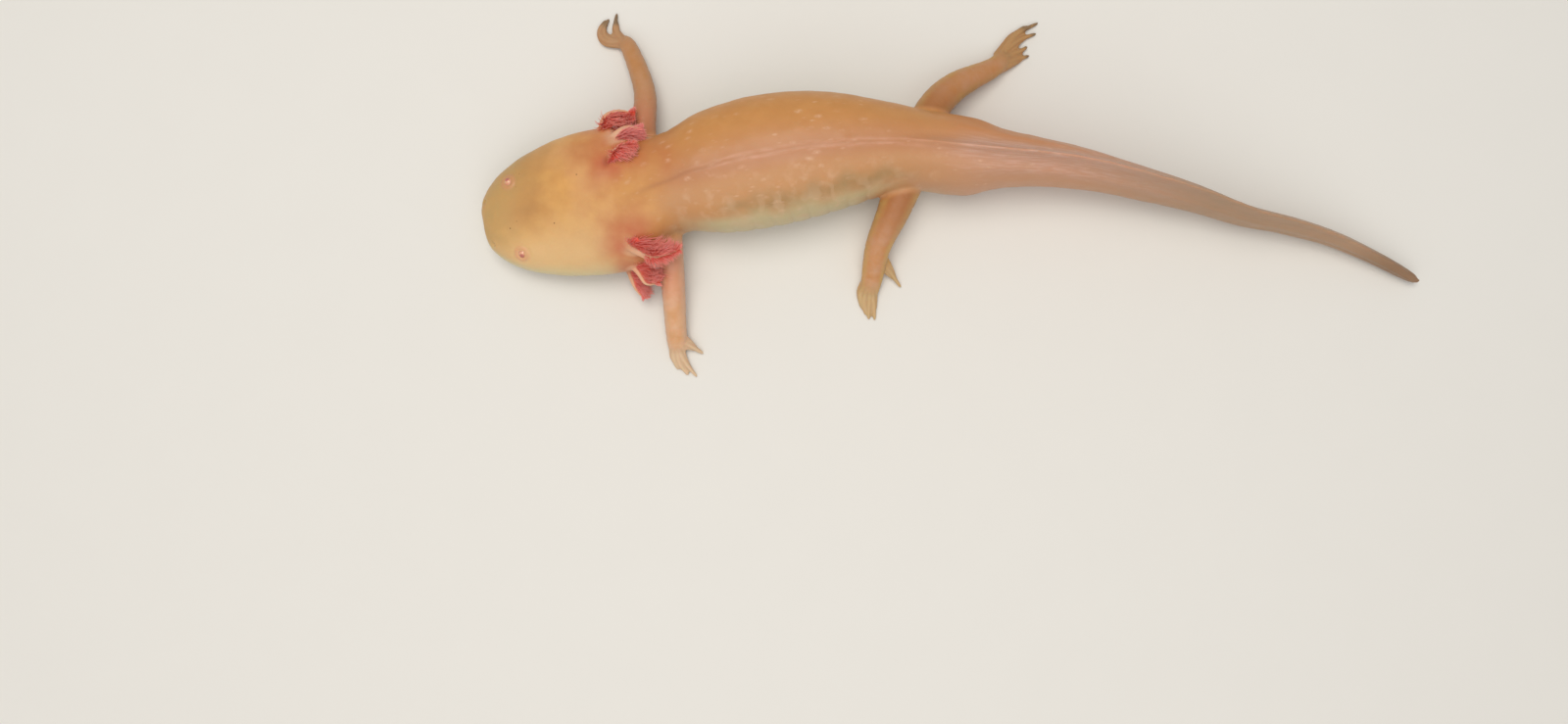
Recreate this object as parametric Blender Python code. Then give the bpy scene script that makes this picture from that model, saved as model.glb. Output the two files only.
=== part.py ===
"""Golden albino axolotl, life size, as a still museum model.

Lengths are in millimetres until a mesh is made. The head points to -X, the animal's right side
is +Y and it rests on z = 0. Most shapes are lofts of unlike sections along a smooth route.
"""

import math

import bmesh
import bpy
import numpy as np
from mathutils import Vector

# ---- driving dimensions, mm ----

MM = 0.001
GAP = 0.3  # between neighbouring pieces
SPINE_LENGTH = 206.0
HEAD_END = 31.0

# the spine seen from above, snout to tail tip
SPINE_ROUTE = [
    (-100.9, -7.4), (-78.0, -2.9), (-69.5, -1.6), (-60.9, 0.9), (-46.4, 4.5), (-31.0, 7.2),
    (-15.5, 8.4), (5.1, 6.7), (25.7, 4.4), (42.0, 0.75), (52.0, -1.9), (63.1, -5.35),
    (71.7, -7.05), (82.0, -9.8), (92.0, -13.9), (102.1, -19.0),
]

# the body without its fins: distance from the snout, half width, top, bottom
BODY_STATIONS = [
    (0.0, 15.0, 9.4, 1.8), (6.0, 15.0, 10.8, 1.1), (12.0, 15.0, 12.4, 0.8),
    (24.0, 15.4, 15.4, 0.4), (30.5, 15.5, 16.6, 0.4), (34.5, 13.4, 17.4, 0.5),
    (38.0, 11.0, 18.1, 0.4), (41.5, 10.6, 18.8, 0.1), (50.0, 12.8, 20.4, -0.3),
    (61.0, 13.7, 21.8, -0.3), (69.0, 13.3, 22.2, -0.3), (78.0, 11.8, 22.0, -0.3),
    (86.0, 9.7, 21.4, -0.2), (93.0, 8.3, 20.6, 0.3), (104.0, 7.9, 19.2, 0.1),
    (111.0, 6.0, 18.4, 2.0), (120.0, 4.8, 17.4, 3.3), (134.0, 3.7, 15.4, 3.6),
    (148.0, 2.85, 12.9, 3.3), (162.0, 1.95, 10.2, 2.8), (176.0, 1.45, 7.6, 2.2),
    (190.0, 0.85, 5.2, 1.6), (206.0, 0.35, 2.8, 1.3),
]
HEAD_LENGTH = 26.0  # the snout is half an oval this long, seen from above
SNOUT_DEPTH = 7.0  # and this long, seen from the side
WIDEST_LEVEL = 0.44  # of a section's height
SECTION_POWER = 2.3  # of the sections and the snout's ovals; 2 is an ellipse, more is squarer

SNOUT_CROWDING = 1.9  # power that crowds the rings together at the tip of the snout

MOUTH_HEIGHT = 4.4
UPPER_HEAD_START = 0.12  # the first ring's distance from the snout's tip
LOWER_JAW_START = 0.9
FIN_HALF = (0.7, 0.35)  # half thickness of a fin at the body and at its edge
DORSAL_EDGE = [(97.0, 21.6), (108.0, 22.2), (122.0, 22.0), (138.0, 20.4), (156.0, 16.9),
               (174.0, 12.2), (190.0, 7.4), (206.0, 3.9)]
VENTRAL_EDGE = [(112.0, 0.8), (120.0, 0.0), (192.0, 0.0), (206.0, 0.3)]

# each length of the body: name, first and last distance from the snout, rings, sides
LENGTHS = [
    ("neck", HEAD_END, 44.0, 8, 24), ("trunk_front", 44.0, 72.0, 12, 24),
    ("trunk_rear", 72.0, 100.0, 11, 24),
    ("tail_base", 100.0, 124.0, 9, 18), ("tail_middle", 124.0, 162.0, 9, 16),
    ("tail_end", 162.0, 205.8, 9, 12),
]

CUTTER_END = 130.0  # how far from the snout the body is cut out of the limbs and gills
FLOOR_HALF = 110.0  # of the block that trims the feet level with the floor
FLOOR_DEPTH = 5.0

EYE_RADIUS = 1.25
EYE_PLACE = {"left": (8.1, -7.9, 9.4), "right": (8.4, 7.0, 10.0)}  # along the spine, across, up

ARM_SIDES = 10
TOE_SIDES = 6
TOE_RADII = (0.95, 0.75, 0.5)  # root, middle, tip
TOE_TIP = 0.6  # the last ring's share of the tip radius
ROUTE_STEP = 7.0  # rough length of one step of a leg's route, mm

# legs: the middle line with a radius and a flatness at each point; parts are the places along
# it where the elbow or knee and the wrist or ankle part the pieces
LEGS = {
    "left_fore": dict(
        names=("upper_arm", "forearm", "hand"), parts=(2.0, 3.0),
        route=[(-60.4, -4.0, 9.0), (-60.2, -13.5, 7.6), (-59.8, -22.0, 5.4), (-59.5, -31.0, 2.5),
               (-59.1, -34.6, 1.0)],
        radii=[2.6, 2.7, 2.4, 1.9, 1.9], flat=[1.0, 1.0, 0.95, 0.8, 0.55],
        toes=[
            [(-59.0, -32.4, 1.3), (-56.6, -33.0, 0.7), (-53.8, -34.9, 0.42)],
            [(-59.0, -33.8, 1.1), (-57.6, -36.6, 0.7), (-55.0, -40.0, 0.42)],
            [(-59.4, -34.0, 1.1), (-59.1, -37.0, 0.7), (-57.4, -39.6, 0.42)],
            [(-59.9, -33.0, 1.1), (-61.2, -34.6, 0.7), (-60.8, -37.0, 0.42)],
        ],
    ),
    "right_fore": dict(
        names=("upper_arm", "forearm", "hand"), parts=(2.0, 3.0),
        route=[(-65.6, 4.0, 9.0), (-66.0, 13.5, 7.0), (-66.2, 22.0, 4.8), (-69.6, 31.4, 2.4),
               (-71.9, 34.0, 1.0)],
        radii=[2.6, 2.6, 2.35, 1.9, 1.7], flat=[1.0, 1.0, 0.95, 0.8, 0.55],
        toes=[
            [(-71.6, 33.4, 1.1), (-75.4, 33.5, 0.7), (-76.7, 35.8, 0.5), (-75.0, 38.2, 0.42)],
            [(-71.9, 33.8, 1.1), (-74.4, 35.0, 0.7), (-75.3, 37.2, 0.42)],
            [(-71.6, 34.0, 1.1), (-73.2, 36.6, 0.7), (-72.7, 40.1, 0.42)],
            [(-71.2, 33.4, 1.1), (-71.9, 35.6, 0.7), (-71.9, 37.8, 0.42)],
        ],
    ),
    "left_hind": dict(
        names=("thigh", "shank", "foot"), parts=(2.0, 2.7),
        route=[(-10.8, 4.0, 9.0), (-13.0, -4.5, 7.8), (-15.8, -11.6, 5.8), (-16.9, -18.0, 2.7),
               (-17.6, -22.0, 1.1)],
        radii=[3.6, 3.4, 2.8, 2.3, 2.3], flat=[1.0, 1.0, 0.95, 0.8, 0.5],
        toes=[
            [(-16.4, -16.8, 1.9), (-13.6, -17.2, 0.8), (-10.9, -20.4, 0.42)],
            [(-16.9, -20.6, 1.1), (-15.9, -23.6, 0.7), (-16.0, -27.0, 0.42)],
            [(-17.4, -21.0, 1.1), (-17.5, -24.4, 0.7), (-17.7, -27.6, 0.42)],
            [(-17.9, -20.8, 1.1), (-19.0, -23.4, 0.7), (-18.9, -26.2, 0.42)],
            [(-18.0, -19.6, 1.1), (-20.0, -21.4, 0.7), (-20.3, -23.8, 0.42)],
        ],
    ),
    "right_hind": dict(
        names=("thigh", "shank", "foot"), parts=(2.0, 2.8),
        route=[(-7.6, 10.0, 9.0), (-4.6, 17.0, 7.8), (0.6, 22.5, 6.0), (9.6, 27.6, 2.8),
               (12.4, 31.4, 1.1)],
        radii=[3.9, 3.6, 3.1, 2.1, 1.9], flat=[1.0, 1.0, 0.95, 0.8, 0.55],
        toes=[
            [(10.0, 28.0, 1.9), (14.6, 29.6, 0.8), (17.9, 30.7, 0.42)],
            [(11.8, 30.0, 1.1), (15.4, 31.4, 0.7), (17.4, 32.7, 0.42)],
            [(12.4, 31.4, 1.1), (15.6, 33.8, 0.7), (19.0, 35.2, 0.42)],
            [(12.4, 32.0, 1.1), (15.2, 35.4, 0.7), (19.8, 38.0, 0.42)],
            [(11.6, 31.4, 1.1), (12.4, 33.8, 0.7), (13.6, 36.2, 0.42)],
        ],
    ),
}

# gills: route of the stalk from inside the neck to its tip, and the way its fringe points
GILL_STALK = (1.25, 0.6)  # radius at the root and at the tip
GILL_SIDES = 10
GILLS = {
    "left_upper": dict(route=[(-70.4, -10.9, 13.0), (-66.8, -13.4, 14.8), (-63.0, -15.0, 15.0),
                              (-57.6, -13.4, 14.4)], fringe=(0.2, 0.9, 0.45), reach=4.4),
    "left_middle": dict(route=[(-70.6, -14.0, 9.0), (-67.2, -17.3, 9.5), (-65.2, -20.0, 9.2),
                               (-62.4, -19.8, 9.4)], fringe=(0.6, 0.8, 0.1), reach=3.8),
    "left_lower": dict(route=[(-70.4, -14.6, 5.4), (-68.9, -18.8, 4.9), (-68.0, -21.0, 4.3),
                              (-66.4, -22.9, 3.6)], fringe=(0.9, 0.45, 0.0), reach=3.4),
    "right_upper": dict(route=[(-72.8, 4.2, 15.2), (-70.8, 6.6, 16.8), (-69.0, 7.9, 17.2),
                               (-66.4, 8.2, 17.0)], fringe=(0.5, -0.5, 0.6), reach=3.4),
    "right_middle": dict(route=[(-73.6, 8.0, 12.0), (-71.2, 10.4, 13.2), (-68.8, 12.0, 13.6),
                                (-65.6, 12.0, 13.2)], fringe=(0.45, -0.6, 0.6), reach=3.8),
    "right_lower": dict(route=[(-75.0, 11.0, 9.4), (-74.0, 14.8, 10.4), (-71.2, 16.2, 10.8),
                               (-67.4, 15.8, 10.8)], fringe=(0.45, -0.8, 0.3), reach=4.2),
}

# colours and finish
GOLD = (0.64, 0.36, 0.12, 1.0)
TAN = (0.60, 0.30, 0.12, 1.0)
PINK = (0.52, 0.26, 0.16, 1.0)
FIN_GREY = (0.50, 0.32, 0.25, 1.0)
LIMB = (0.54, 0.29, 0.13, 1.0)
TOE = (0.52, 0.38, 0.18, 1.0)
GILL_RED = (0.42, 0.06, 0.05, 1.0)
EYE_PINK = (0.75, 0.36, 0.30, 1.0)
SKIN_ROUGH = 0.42
EYE_ROUGH = 0.08


# ---- small tools ----

def clear_scene():
    for old in list(bpy.data.objects):
        bpy.data.objects.remove(old, do_unlink=True)


def make_collection(name):
    made = bpy.data.collections.new(name)
    bpy.context.scene.collection.children.link(made)
    return made


def make_material(name, colour, rough):
    made = bpy.data.materials.new(name)
    made.use_nodes = True
    shader = made.node_tree.nodes["Principled BSDF"]
    shader.inputs["Base Color"].default_value = colour
    shader.inputs["Roughness"].default_value = rough
    shader.inputs["Metallic"].default_value = 0.0
    return made


def curve_through(knots, values, level=True):
    """Cubic through the values at the knots; level keeps it from swinging past them."""
    k = np.array(knots, float)
    v = np.array(values, float)
    h = np.diff(k)
    rise = (np.diff(v, axis=0).T / h).T
    slope = np.empty_like(v)
    slope[0] = rise[0]
    slope[-1] = rise[-1]
    for i in range(1, len(k) - 1):
        slope[i] = (rise[i - 1] * h[i] + rise[i] * h[i - 1]) / (h[i - 1] + h[i])
    if level:
        for i in range(1, len(k) - 1):
            most = 3.0 * min(abs(rise[i - 1]), abs(rise[i]))
            turns = rise[i - 1] * rise[i] <= 0.0
            slope[i] = 0.0 if turns else max(-most, min(most, slope[i]))

    def at(x):
        i = int(np.clip(np.searchsorted(k, x) - 1, 0, len(h) - 1))
        t = (x - k[i]) / h[i]
        a = v[i] * (1 + 2 * t) * (1 - t) ** 2 + slope[i] * h[i] * t * (1 - t) ** 2
        b = v[i + 1] * t * t * (3 - 2 * t) - slope[i + 1] * h[i] * t * t * (1 - t)
        return a + b

    return at


def curve_of(stations, column):
    return curve_through([s[0] for s in stations], [s[column] for s in stations])


def even(first, last, count):
    return [first + (last - first) * i / (count - 1) for i in range(count)]


def snout_steps(first, last, count):
    """Distances that crowd together at the tip of the snout."""
    return [first + (last - first) * (i / (count - 1)) ** SNOUT_CROWDING for i in range(count)]


def ring_mesh(name, rings):
    """Closed loft through rings of equal counts, with a flat cap on each end."""
    bm = bmesh.new()
    loops = [[bm.verts.new(Vector(p) * MM) for p in ring] for ring in rings]
    n = len(loops[0])
    for low, high in zip(loops, loops[1:]):
        for i in range(n):
            j = (i + 1) % n
            bm.faces.new((low[i], low[j], high[j], high[i]))
    bm.faces.new(tuple(reversed(loops[0])))
    bm.faces.new(tuple(loops[-1]))
    bmesh.ops.recalc_face_normals(bm, faces=bm.faces)
    mesh = bpy.data.meshes.new(name)
    bm.to_mesh(mesh)
    bm.free()
    mesh.shade_smooth()
    mesh.set_sharp_from_angle(angle=math.radians(50))
    return mesh


def make_object(name, mesh, collection, material=None):
    made = bpy.data.objects.new(name, mesh)
    collection.objects.link(made)
    if material:
        mesh.materials.append(material)
    return made


def hide_cutter(made):
    made.hide_render = True
    made.display_type = "WIRE"
    return made


def make_cutter(name, mesh):
    return hide_cutter(make_object(name, mesh, cutters))


def add_boolean(target, operation, tool):
    step = target.modifiers.new(f"{operation.lower()}_{tool.name}", "BOOLEAN")
    step.operation = operation
    step.solver = "EXACT"
    step.object = tool


# ---- the body's shape ----

def spine_curve():
    points = np.array(SPINE_ROUTE)
    steps = np.hypot(*np.diff(points, axis=0).T)
    along = np.concatenate([[0.0], np.cumsum(steps)])
    return curve_through(along * SPINE_LENGTH / along[-1], points, level=False)


spine_at = spine_curve()
half_width_at = curve_of(BODY_STATIONS, 1)
top_at = curve_of(BODY_STATIONS, 2)
bottom_at = curve_of(BODY_STATIONS, 3)
dorsal_at = curve_of(DORSAL_EDGE, 1)
ventral_at = curve_of(VENTRAL_EDGE, 1)


def roundness(s, length):
    """0 at the tip of the snout, growing along a quarter oval to 1."""
    return (1.0 - (1.0 - s / length) ** 2) ** (1.0 / SECTION_POWER) if s < length else 1.0


def place(s, across, up):
    """Point at a distance along the spine, across it to the right, and above the floor."""
    here = spine_at(s)
    ahead = spine_at(s + 0.5) - spine_at(s - 0.5)
    ahead /= np.hypot(*ahead)
    return (here[0] - ahead[1] * across, here[1] + ahead[0] * across, up)


def power_wave(value):
    return math.copysign(abs(value) ** (2.0 / SECTION_POWER), value)


def section_point(s, turn, grow=0.0):
    """Point on the body's skin, turning from its right side over the back."""
    bottom, top = bottom_at(s), top_at(s)
    middle = bottom + WIDEST_LEVEL * (top - bottom)
    wide = half_width_at(s) * roundness(s, HEAD_LENGTH) + grow
    reach = top - middle if math.sin(turn) > 0 else middle - bottom
    up = middle + (reach * roundness(s, SNOUT_DEPTH) + grow) * power_wave(math.sin(turn))
    return place(s, wide * power_wave(math.cos(turn)), up if grow else max(up, 0.0))


def body_ring(s, count, grow=0.0):
    return [section_point(s, 2.0 * math.pi * i / count, grow) for i in range(count)]


def mouth_turn(s, level):
    """How far below its widest place a head section meets a level."""
    bottom = bottom_at(s)
    depth = WIDEST_LEVEL * (top_at(s) - bottom)
    share = (bottom + depth - level) / (depth * roundness(s, SNOUT_DEPTH))
    return math.asin(min(max(share, 0.0), 1.0) ** (SECTION_POWER / 2.0))


def upper_head_ring(s, count):
    low = mouth_turn(s, MOUTH_HEIGHT + GAP / 2)
    return [section_point(s, turn) for turn in even(-low, math.pi + low, count)]


def lower_jaw_ring(s, count):
    low = mouth_turn(s, MOUTH_HEIGHT - GAP / 2)
    return [section_point(s, turn) for turn in even(math.pi + low, 2.0 * math.pi - low, count)]


def make_lengths():
    for name, first, last, rings, sides in LENGTHS:
        loft = ring_mesh(name, [body_ring(s, sides) for s in even(first + GAP, last, rings)])
        make_object(name, loft, axolotl, pink if name.startswith("tail") else tan)


def make_head():
    upper = [upper_head_ring(s, 23) for s in snout_steps(UPPER_HEAD_START, HEAD_END, 15)]
    head = make_object("head", ring_mesh("head", upper), axolotl, gold)
    lower = [lower_jaw_ring(s, 13) for s in snout_steps(LOWER_JAW_START, HEAD_END, 13)]
    make_object("lower_jaw", ring_mesh("lower_jaw", lower), axolotl, gold)
    for side, (s, across, up) in EYE_PLACE.items():
        spot = Vector(place(s, across, up)) * MM
        add_ball(f"eye_{side}", spot, EYE_RADIUS, axolotl, eye_pink)
        socket = hide_cutter(add_ball(f"socket_{side}", spot, EYE_RADIUS + GAP, cutters))
        add_boolean(head, "DIFFERENCE", socket)


def add_ball(name, spot, radius, collection, material=None):
    bm = bmesh.new()
    bmesh.ops.create_uvsphere(bm, u_segments=12, v_segments=8, radius=radius * MM)
    mesh = bpy.data.meshes.new(name)
    bm.to_mesh(mesh)
    bm.free()
    mesh.shade_smooth()
    ball = make_object(name, mesh, collection, material)
    ball.location = spot
    return ball


def fin_ring(s, inner, outer):
    """Section of a fin between two levels, thick at the body and thin at its edge."""
    base, edge = FIN_HALF
    half = [(inner, base), (0.5 * (inner + outer), 0.5 * (base + edge)), (outer, edge)]
    return [place(s, -w, up) for up, w in half] + [place(s, w, up) for up, w in reversed(half)]


def make_fins():
    ends = DORSAL_EDGE[0][0], SPINE_LENGTH
    upper = [fin_ring(s, top_at(s) + GAP, dorsal_at(s)) for s in even(*ends, 18)]
    make_object("tail_fin_upper", ring_mesh("tail_fin_upper", upper), axolotl, fin_grey)
    ends = VENTRAL_EDGE[0][0], SPINE_LENGTH
    lower = [fin_ring(s, bottom_at(s) - GAP, ventral_at(s)) for s in even(*ends, 16)]
    make_object("tail_fin_lower", ring_mesh("tail_fin_lower", lower), axolotl, fin_grey)


# ---- legs ----

def direction_along(route, t, step=0.02):
    return (Vector(route(t + step)) - Vector(route(t - step))).normalized()


def frame_along(route, t):
    """Point, sideways and upward directions of a route at t, for a section across it."""
    ahead = direction_along(route, t)
    side = ahead.cross(Vector((0, 0, 1))).normalized()
    return Vector(route(t)), side, side.cross(ahead)


def oval(centre, side, up, radius, flat, count):
    turns = [2.0 * math.pi * i / count for i in range(count)]
    return [centre + side * radius * math.cos(a) + up * radius * flat * math.sin(a) for a in turns]


def toe_mesh(name, points):
    last = len(points) - 1
    route = curve_through(range(len(points)), points, level=False)
    radius = curve_through([0.0, 0.5 * last, last], TOE_RADII)
    steps = even(0.0, last - 0.1, 2 * last + 1)
    rings = [oval(*frame_along(route, t), radius(t), 1.0, TOE_SIDES) for t in steps]
    rings.append(oval(*frame_along(route, last), TOE_TIP * radius(last), 1.0, TOE_SIDES))
    return ring_mesh(name, rings)


def make_leg(place_name, leg):
    knots = range(len(leg["route"]))
    route = curve_through(knots, leg["route"], level=False)
    radius = curve_through(knots, leg["radii"])
    flat = curve_through(knots, leg["flat"])
    bend, wrist = leg["parts"]
    step = GAP / ROUTE_STEP
    spans = [(0.0, bend, 5), (bend + step, wrist, 4), (wrist + step, knots[-1], 4)]
    for part_name, (first, last, count) in zip(leg["names"], spans):
        name = f"{place_name}_{part_name}"
        rings = [oval(*frame_along(route, t), radius(t), flat(t), ARM_SIDES)
                 for t in even(first, last, count)]
        skin = toe_skin if part_name in ("hand", "foot") else limb
        piece = make_object(name, ring_mesh(name, rings), axolotl, skin)
        if part_name in ("upper_arm", "thigh"):
            add_boolean(piece, "DIFFERENCE", body_cutter)
        if part_name in ("hand", "foot"):
            for i, points in enumerate(leg["toes"]):
                toe_name = f"{place_name}_toe_{i + 1}"
                add_boolean(piece, "UNION", make_cutter(toe_name, toe_mesh(toe_name, points)))
            add_boolean(piece, "DIFFERENCE", floor_cutter)


# ---- gills ----

def gill_ring(centre, ahead, fringe, radius, reach):
    """Teardrop across the stalk: round at the back, drawn out to the fringe's tips."""
    fringe = (fringe - ahead * fringe.dot(ahead)).normalized()
    across = ahead.cross(fringe)
    ring = []
    for i in range(GILL_SIDES):
        turn = 2.0 * math.pi * i / GILL_SIDES
        out = (reach if math.cos(turn) > 0 else radius) * math.cos(turn)
        ring.append(centre + fringe * out + across * radius * math.sin(turn))
    return ring


def make_gill(name, gill):
    last = len(gill["route"]) - 1
    route = curve_through(range(last + 1), gill["route"], level=False)
    root, tip = GILL_STALK
    rings = []
    for t in even(0.0, last, 9):
        radius = root + (tip - root) * t / last
        swell = math.sin(math.pi * min(1.0, 0.2 + 0.75 * t / last)) ** 0.6
        ahead = direction_along(route, t)
        reach = radius + (gill["reach"] - radius) * swell
        rings.append(gill_ring(Vector(route(t)), ahead, Vector(gill["fringe"]), radius, reach))
    piece = make_object(name, ring_mesh(name, rings), axolotl, gill_red)
    add_boolean(piece, "DIFFERENCE", body_cutter)


# ---- build ----

clear_scene()
axolotl = make_collection("axolotl")
cutters = make_collection("cutters")
gold = make_material("skin_gold", GOLD, SKIN_ROUGH)
tan = make_material("skin_tan", TAN, SKIN_ROUGH)
pink = make_material("skin_pink", PINK, SKIN_ROUGH)
fin_grey = make_material("skin_fin", FIN_GREY, SKIN_ROUGH)
limb = make_material("skin_limb", LIMB, SKIN_ROUGH)
toe_skin = make_material("skin_toe", TOE, SKIN_ROUGH)
gill_red = make_material("gill_red", GILL_RED, SKIN_ROUGH)
eye_pink = make_material("eye_pink", EYE_PINK, EYE_ROUGH)

cutter_rings = [body_ring(s, 24, grow=GAP) for s in snout_steps(1.0, CUTTER_END, 60)]
body_cutter = make_cutter("body_grown", ring_mesh("body_grown", cutter_rings))
corners = [(-FLOOR_HALF, -FLOOR_HALF), (FLOOR_HALF, -FLOOR_HALF),
           (FLOOR_HALF, FLOOR_HALF), (-FLOOR_HALF, FLOOR_HALF)]
floor_rings = [[(x, y, level) for x, y in corners] for level in (-FLOOR_DEPTH, 0.0)]
floor_cutter = make_cutter("below_floor", ring_mesh("below_floor", floor_rings))

make_head()
make_lengths()
make_fins()
for leg_place, leg_shape in LEGS.items():
    make_leg(leg_place, leg_shape)
for gill_place, gill_shape in GILLS.items():
    make_gill(f"gill_{gill_place}", gill_shape)
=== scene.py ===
import itertools
import math

import bpy
import numpy as np
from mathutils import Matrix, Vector


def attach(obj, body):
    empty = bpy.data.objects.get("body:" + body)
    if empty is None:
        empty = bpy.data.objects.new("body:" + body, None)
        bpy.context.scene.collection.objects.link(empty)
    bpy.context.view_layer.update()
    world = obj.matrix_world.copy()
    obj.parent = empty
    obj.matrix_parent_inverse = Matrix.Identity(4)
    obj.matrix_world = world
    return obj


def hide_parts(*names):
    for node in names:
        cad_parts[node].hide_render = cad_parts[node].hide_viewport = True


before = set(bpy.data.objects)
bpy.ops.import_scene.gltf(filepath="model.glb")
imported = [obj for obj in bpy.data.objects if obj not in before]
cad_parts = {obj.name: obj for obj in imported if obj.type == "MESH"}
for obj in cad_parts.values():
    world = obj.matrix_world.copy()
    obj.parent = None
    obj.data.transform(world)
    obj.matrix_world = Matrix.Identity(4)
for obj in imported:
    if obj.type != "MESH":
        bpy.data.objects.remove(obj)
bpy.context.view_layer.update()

mm = 0.001  # sizes below are in millimetres where no note says metres; meshes are made in metres


# the head points to -X, the animal's right side is +Y and it rests on z = 0

def curveThrough(knots, values, level=True):
    # cubic through the values; level keeps it from swinging past them
    knots = np.array(knots, float)
    values = np.array(values, float)
    gaps = np.diff(knots)
    rise = (np.diff(values, axis=0).T / gaps).T
    slope = np.empty_like(values)
    slope[0] = rise[0]
    slope[-1] = rise[-1]
    for i in range(1, len(knots) - 1):
        slope[i] = (rise[i - 1] * gaps[i] + rise[i] * gaps[i - 1]) / (gaps[i - 1] + gaps[i])
    if level:
        for i in range(1, len(knots) - 1):
            most = 3.0 * min(abs(rise[i - 1]), abs(rise[i]))
            turns = rise[i - 1] * rise[i] <= 0.0
            slope[i] = 0.0 if turns else max(-most, min(most, slope[i]))

    def at(x):
        x = np.asarray(x, float)
        i = np.clip(np.searchsorted(knots, x) - 1, 0, len(gaps) - 1)
        gap = gaps[i]
        t = (x - knots[i]) / gap
        if values.ndim == 2:
            gap = gap[..., None]
            t = t[..., None]
        near = values[i] * (1 + 2 * t) * (1 - t) ** 2 + slope[i] * gap * t * (1 - t) ** 2
        return near + values[i + 1] * t * t * (3 - 2 * t) - slope[i + 1] * gap * t * t * (1 - t)

    return at


def routeThrough(points):
    # one step of the route's own measure leads from each point to the next
    return curveThrough(range(len(points)), points, level=False)


def column(rows, index):
    return curveThrough([r[0] for r in rows], [r[index] for r in rows])


def ease(low, high, x):
    t = np.clip((x - low) / (high - low), 0.0, 1.0)
    return t * t * (3.0 - 2.0 * t)


def hump(x, centre, spread):
    return np.exp(-((x - centre) / spread) ** 2)


def profile(x, humps):
    # each hump or dip has a height, a centre and a spread
    return sum(height * hump(x, centre, spread) for height, centre, spread in humps)


def unit(v):
    return v / np.maximum(np.linalg.norm(v, axis=-1, keepdims=True), 1e-9)


def aheadOn(route, at):
    return unit(route(at + 0.02) - route(at - 0.02))


def turnOf(count):
    return np.linspace(0.0, 2.0 * math.pi, count, endpoint=False)


def roundEnd(left, least=0.02):
    # the share of its full size that a rounded end keeps, from how much of the end is left
    return np.sqrt(np.maximum(1.0 - (1.0 - left) ** 2, least))


def fromNearest(points, spots):
    return np.min([np.linalg.norm(points - spot, axis=1) for spot in spots], axis=0)


def softNoise(points, size, seed):
    # smooth random values from -1 to 1 that change over about one size
    scaled = points / size + 1000.0
    cell = np.floor(scaled).astype(np.int64)
    share = scaled - cell
    share = share * share * (3.0 - 2.0 * share)
    total = np.zeros(len(points))
    for corner in itertools.product((0, 1), repeat=3):
        x, y, z = (cell + np.array(corner)).T
        mixed = (x * 73856093) ^ (y * 19349663) ^ (z * 83492791) ^ (seed * 9176 + 77)
        value = ((mixed * 2654435761) & 0xFFFFFFFF) / 2.0 ** 31 - 1.0
        total += value * np.prod(np.where(corner, share, 1.0 - share), axis=1)
    return total


body = {
    "spine": [(-100.9, -7.4), (-78.0, -2.9), (-69.5, -1.6), (-60.9, 0.9), (-46.4, 4.5), (-31.0, 7.2),
              (-15.5, 8.4), (5.1, 6.7), (25.7, 4.4), (42.0, 0.75), (52.0, -1.9), (63.1, -5.35),
              (71.7, -7.05), (82.0, -9.8), (92.0, -13.9), (102.1, -19.0)],
    "length": 206.0,
    # distance from the snout, half width, top, bottom
    "stations": [(0.0, 15.0, 9.4, 1.8), (6.0, 15.0, 10.8, 1.1), (12.0, 15.0, 12.4, 0.8),
                 (24.0, 15.4, 15.4, 0.4), (30.5, 15.5, 16.6, 0.4), (34.5, 13.4, 17.4, 0.5),
                 (38.0, 11.0, 18.1, 0.4), (41.5, 10.6, 18.8, 0.1), (50.0, 12.8, 20.4, -0.3),
                 (61.0, 13.7, 21.8, -0.3), (69.0, 13.3, 22.2, -0.3), (78.0, 11.8, 22.0, -0.3),
                 (86.0, 9.7, 21.4, -0.2), (93.0, 8.3, 20.6, 0.3), (104.0, 7.9, 19.2, 0.1),
                 (111.0, 6.0, 18.4, 2.0), (120.0, 4.8, 17.4, 3.3), (134.0, 3.7, 15.4, 3.6),
                 (148.0, 2.85, 12.9, 3.3), (162.0, 1.95, 10.2, 2.8), (176.0, 1.45, 7.6, 2.2),
                 (190.0, 0.85, 5.2, 1.6), (206.0, 0.35, 2.8, 1.3)],
    "headLength": 26.0,  # from the snout to where the head has its full width
    "snoutDepth": 7.0,  # from the snout to where it has its full depth
    "widestLevel": 0.44,  # share of the depth at which each section is widest
    "squareness": 2.3,  # 2 makes the sections ellipses
    "rings": 420,
    "sides": 128,
}


def makeSpine():
    points = np.array(body["spine"])
    along = np.concatenate([[0.0], np.cumsum(np.hypot(*np.diff(points, axis=0).T))])
    return curveThrough(along * body["length"] / along[-1], points, level=False)


spineAt = makeSpine()
halfWidthAt = column(body["stations"], 1)
topAt = column(body["stations"], 2)
bottomAt = column(body["stations"], 3)


def spineAhead(s):
    return unit(spineAt(s + 0.5) - spineAt(s - 0.5))


def place(s, across, up):
    # s runs along the spine from the snout, across it points to the animal's right
    here = spineAt(s)
    ahead = spineAhead(s)
    return np.stack([here[..., 0] - ahead[..., 1] * across, here[..., 1] + ahead[..., 0] * across,
                     up + 0.0 * across], axis=-1)


def onBody(points):
    # distance along the spine and across it, for any points
    steps = np.linspace(0.0, body["length"], 800)
    s = np.interp(points[:, 0], spineAt(steps)[:, 0], steps)
    for _ in range(5):
        ahead = spineAhead(s)
        off = points[:, :2] - spineAt(s)
        s = np.clip(s + (off * ahead).sum(1), 0.0, body["length"])
    return s, off[:, 1] * ahead[:, 0] - off[:, 0] * ahead[:, 1]


def roundness(s, length):
    reach = np.clip(s / length, 0.0, 1.0)
    return (1.0 - (1.0 - reach) ** 2) ** (1.0 / body["squareness"])


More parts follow.
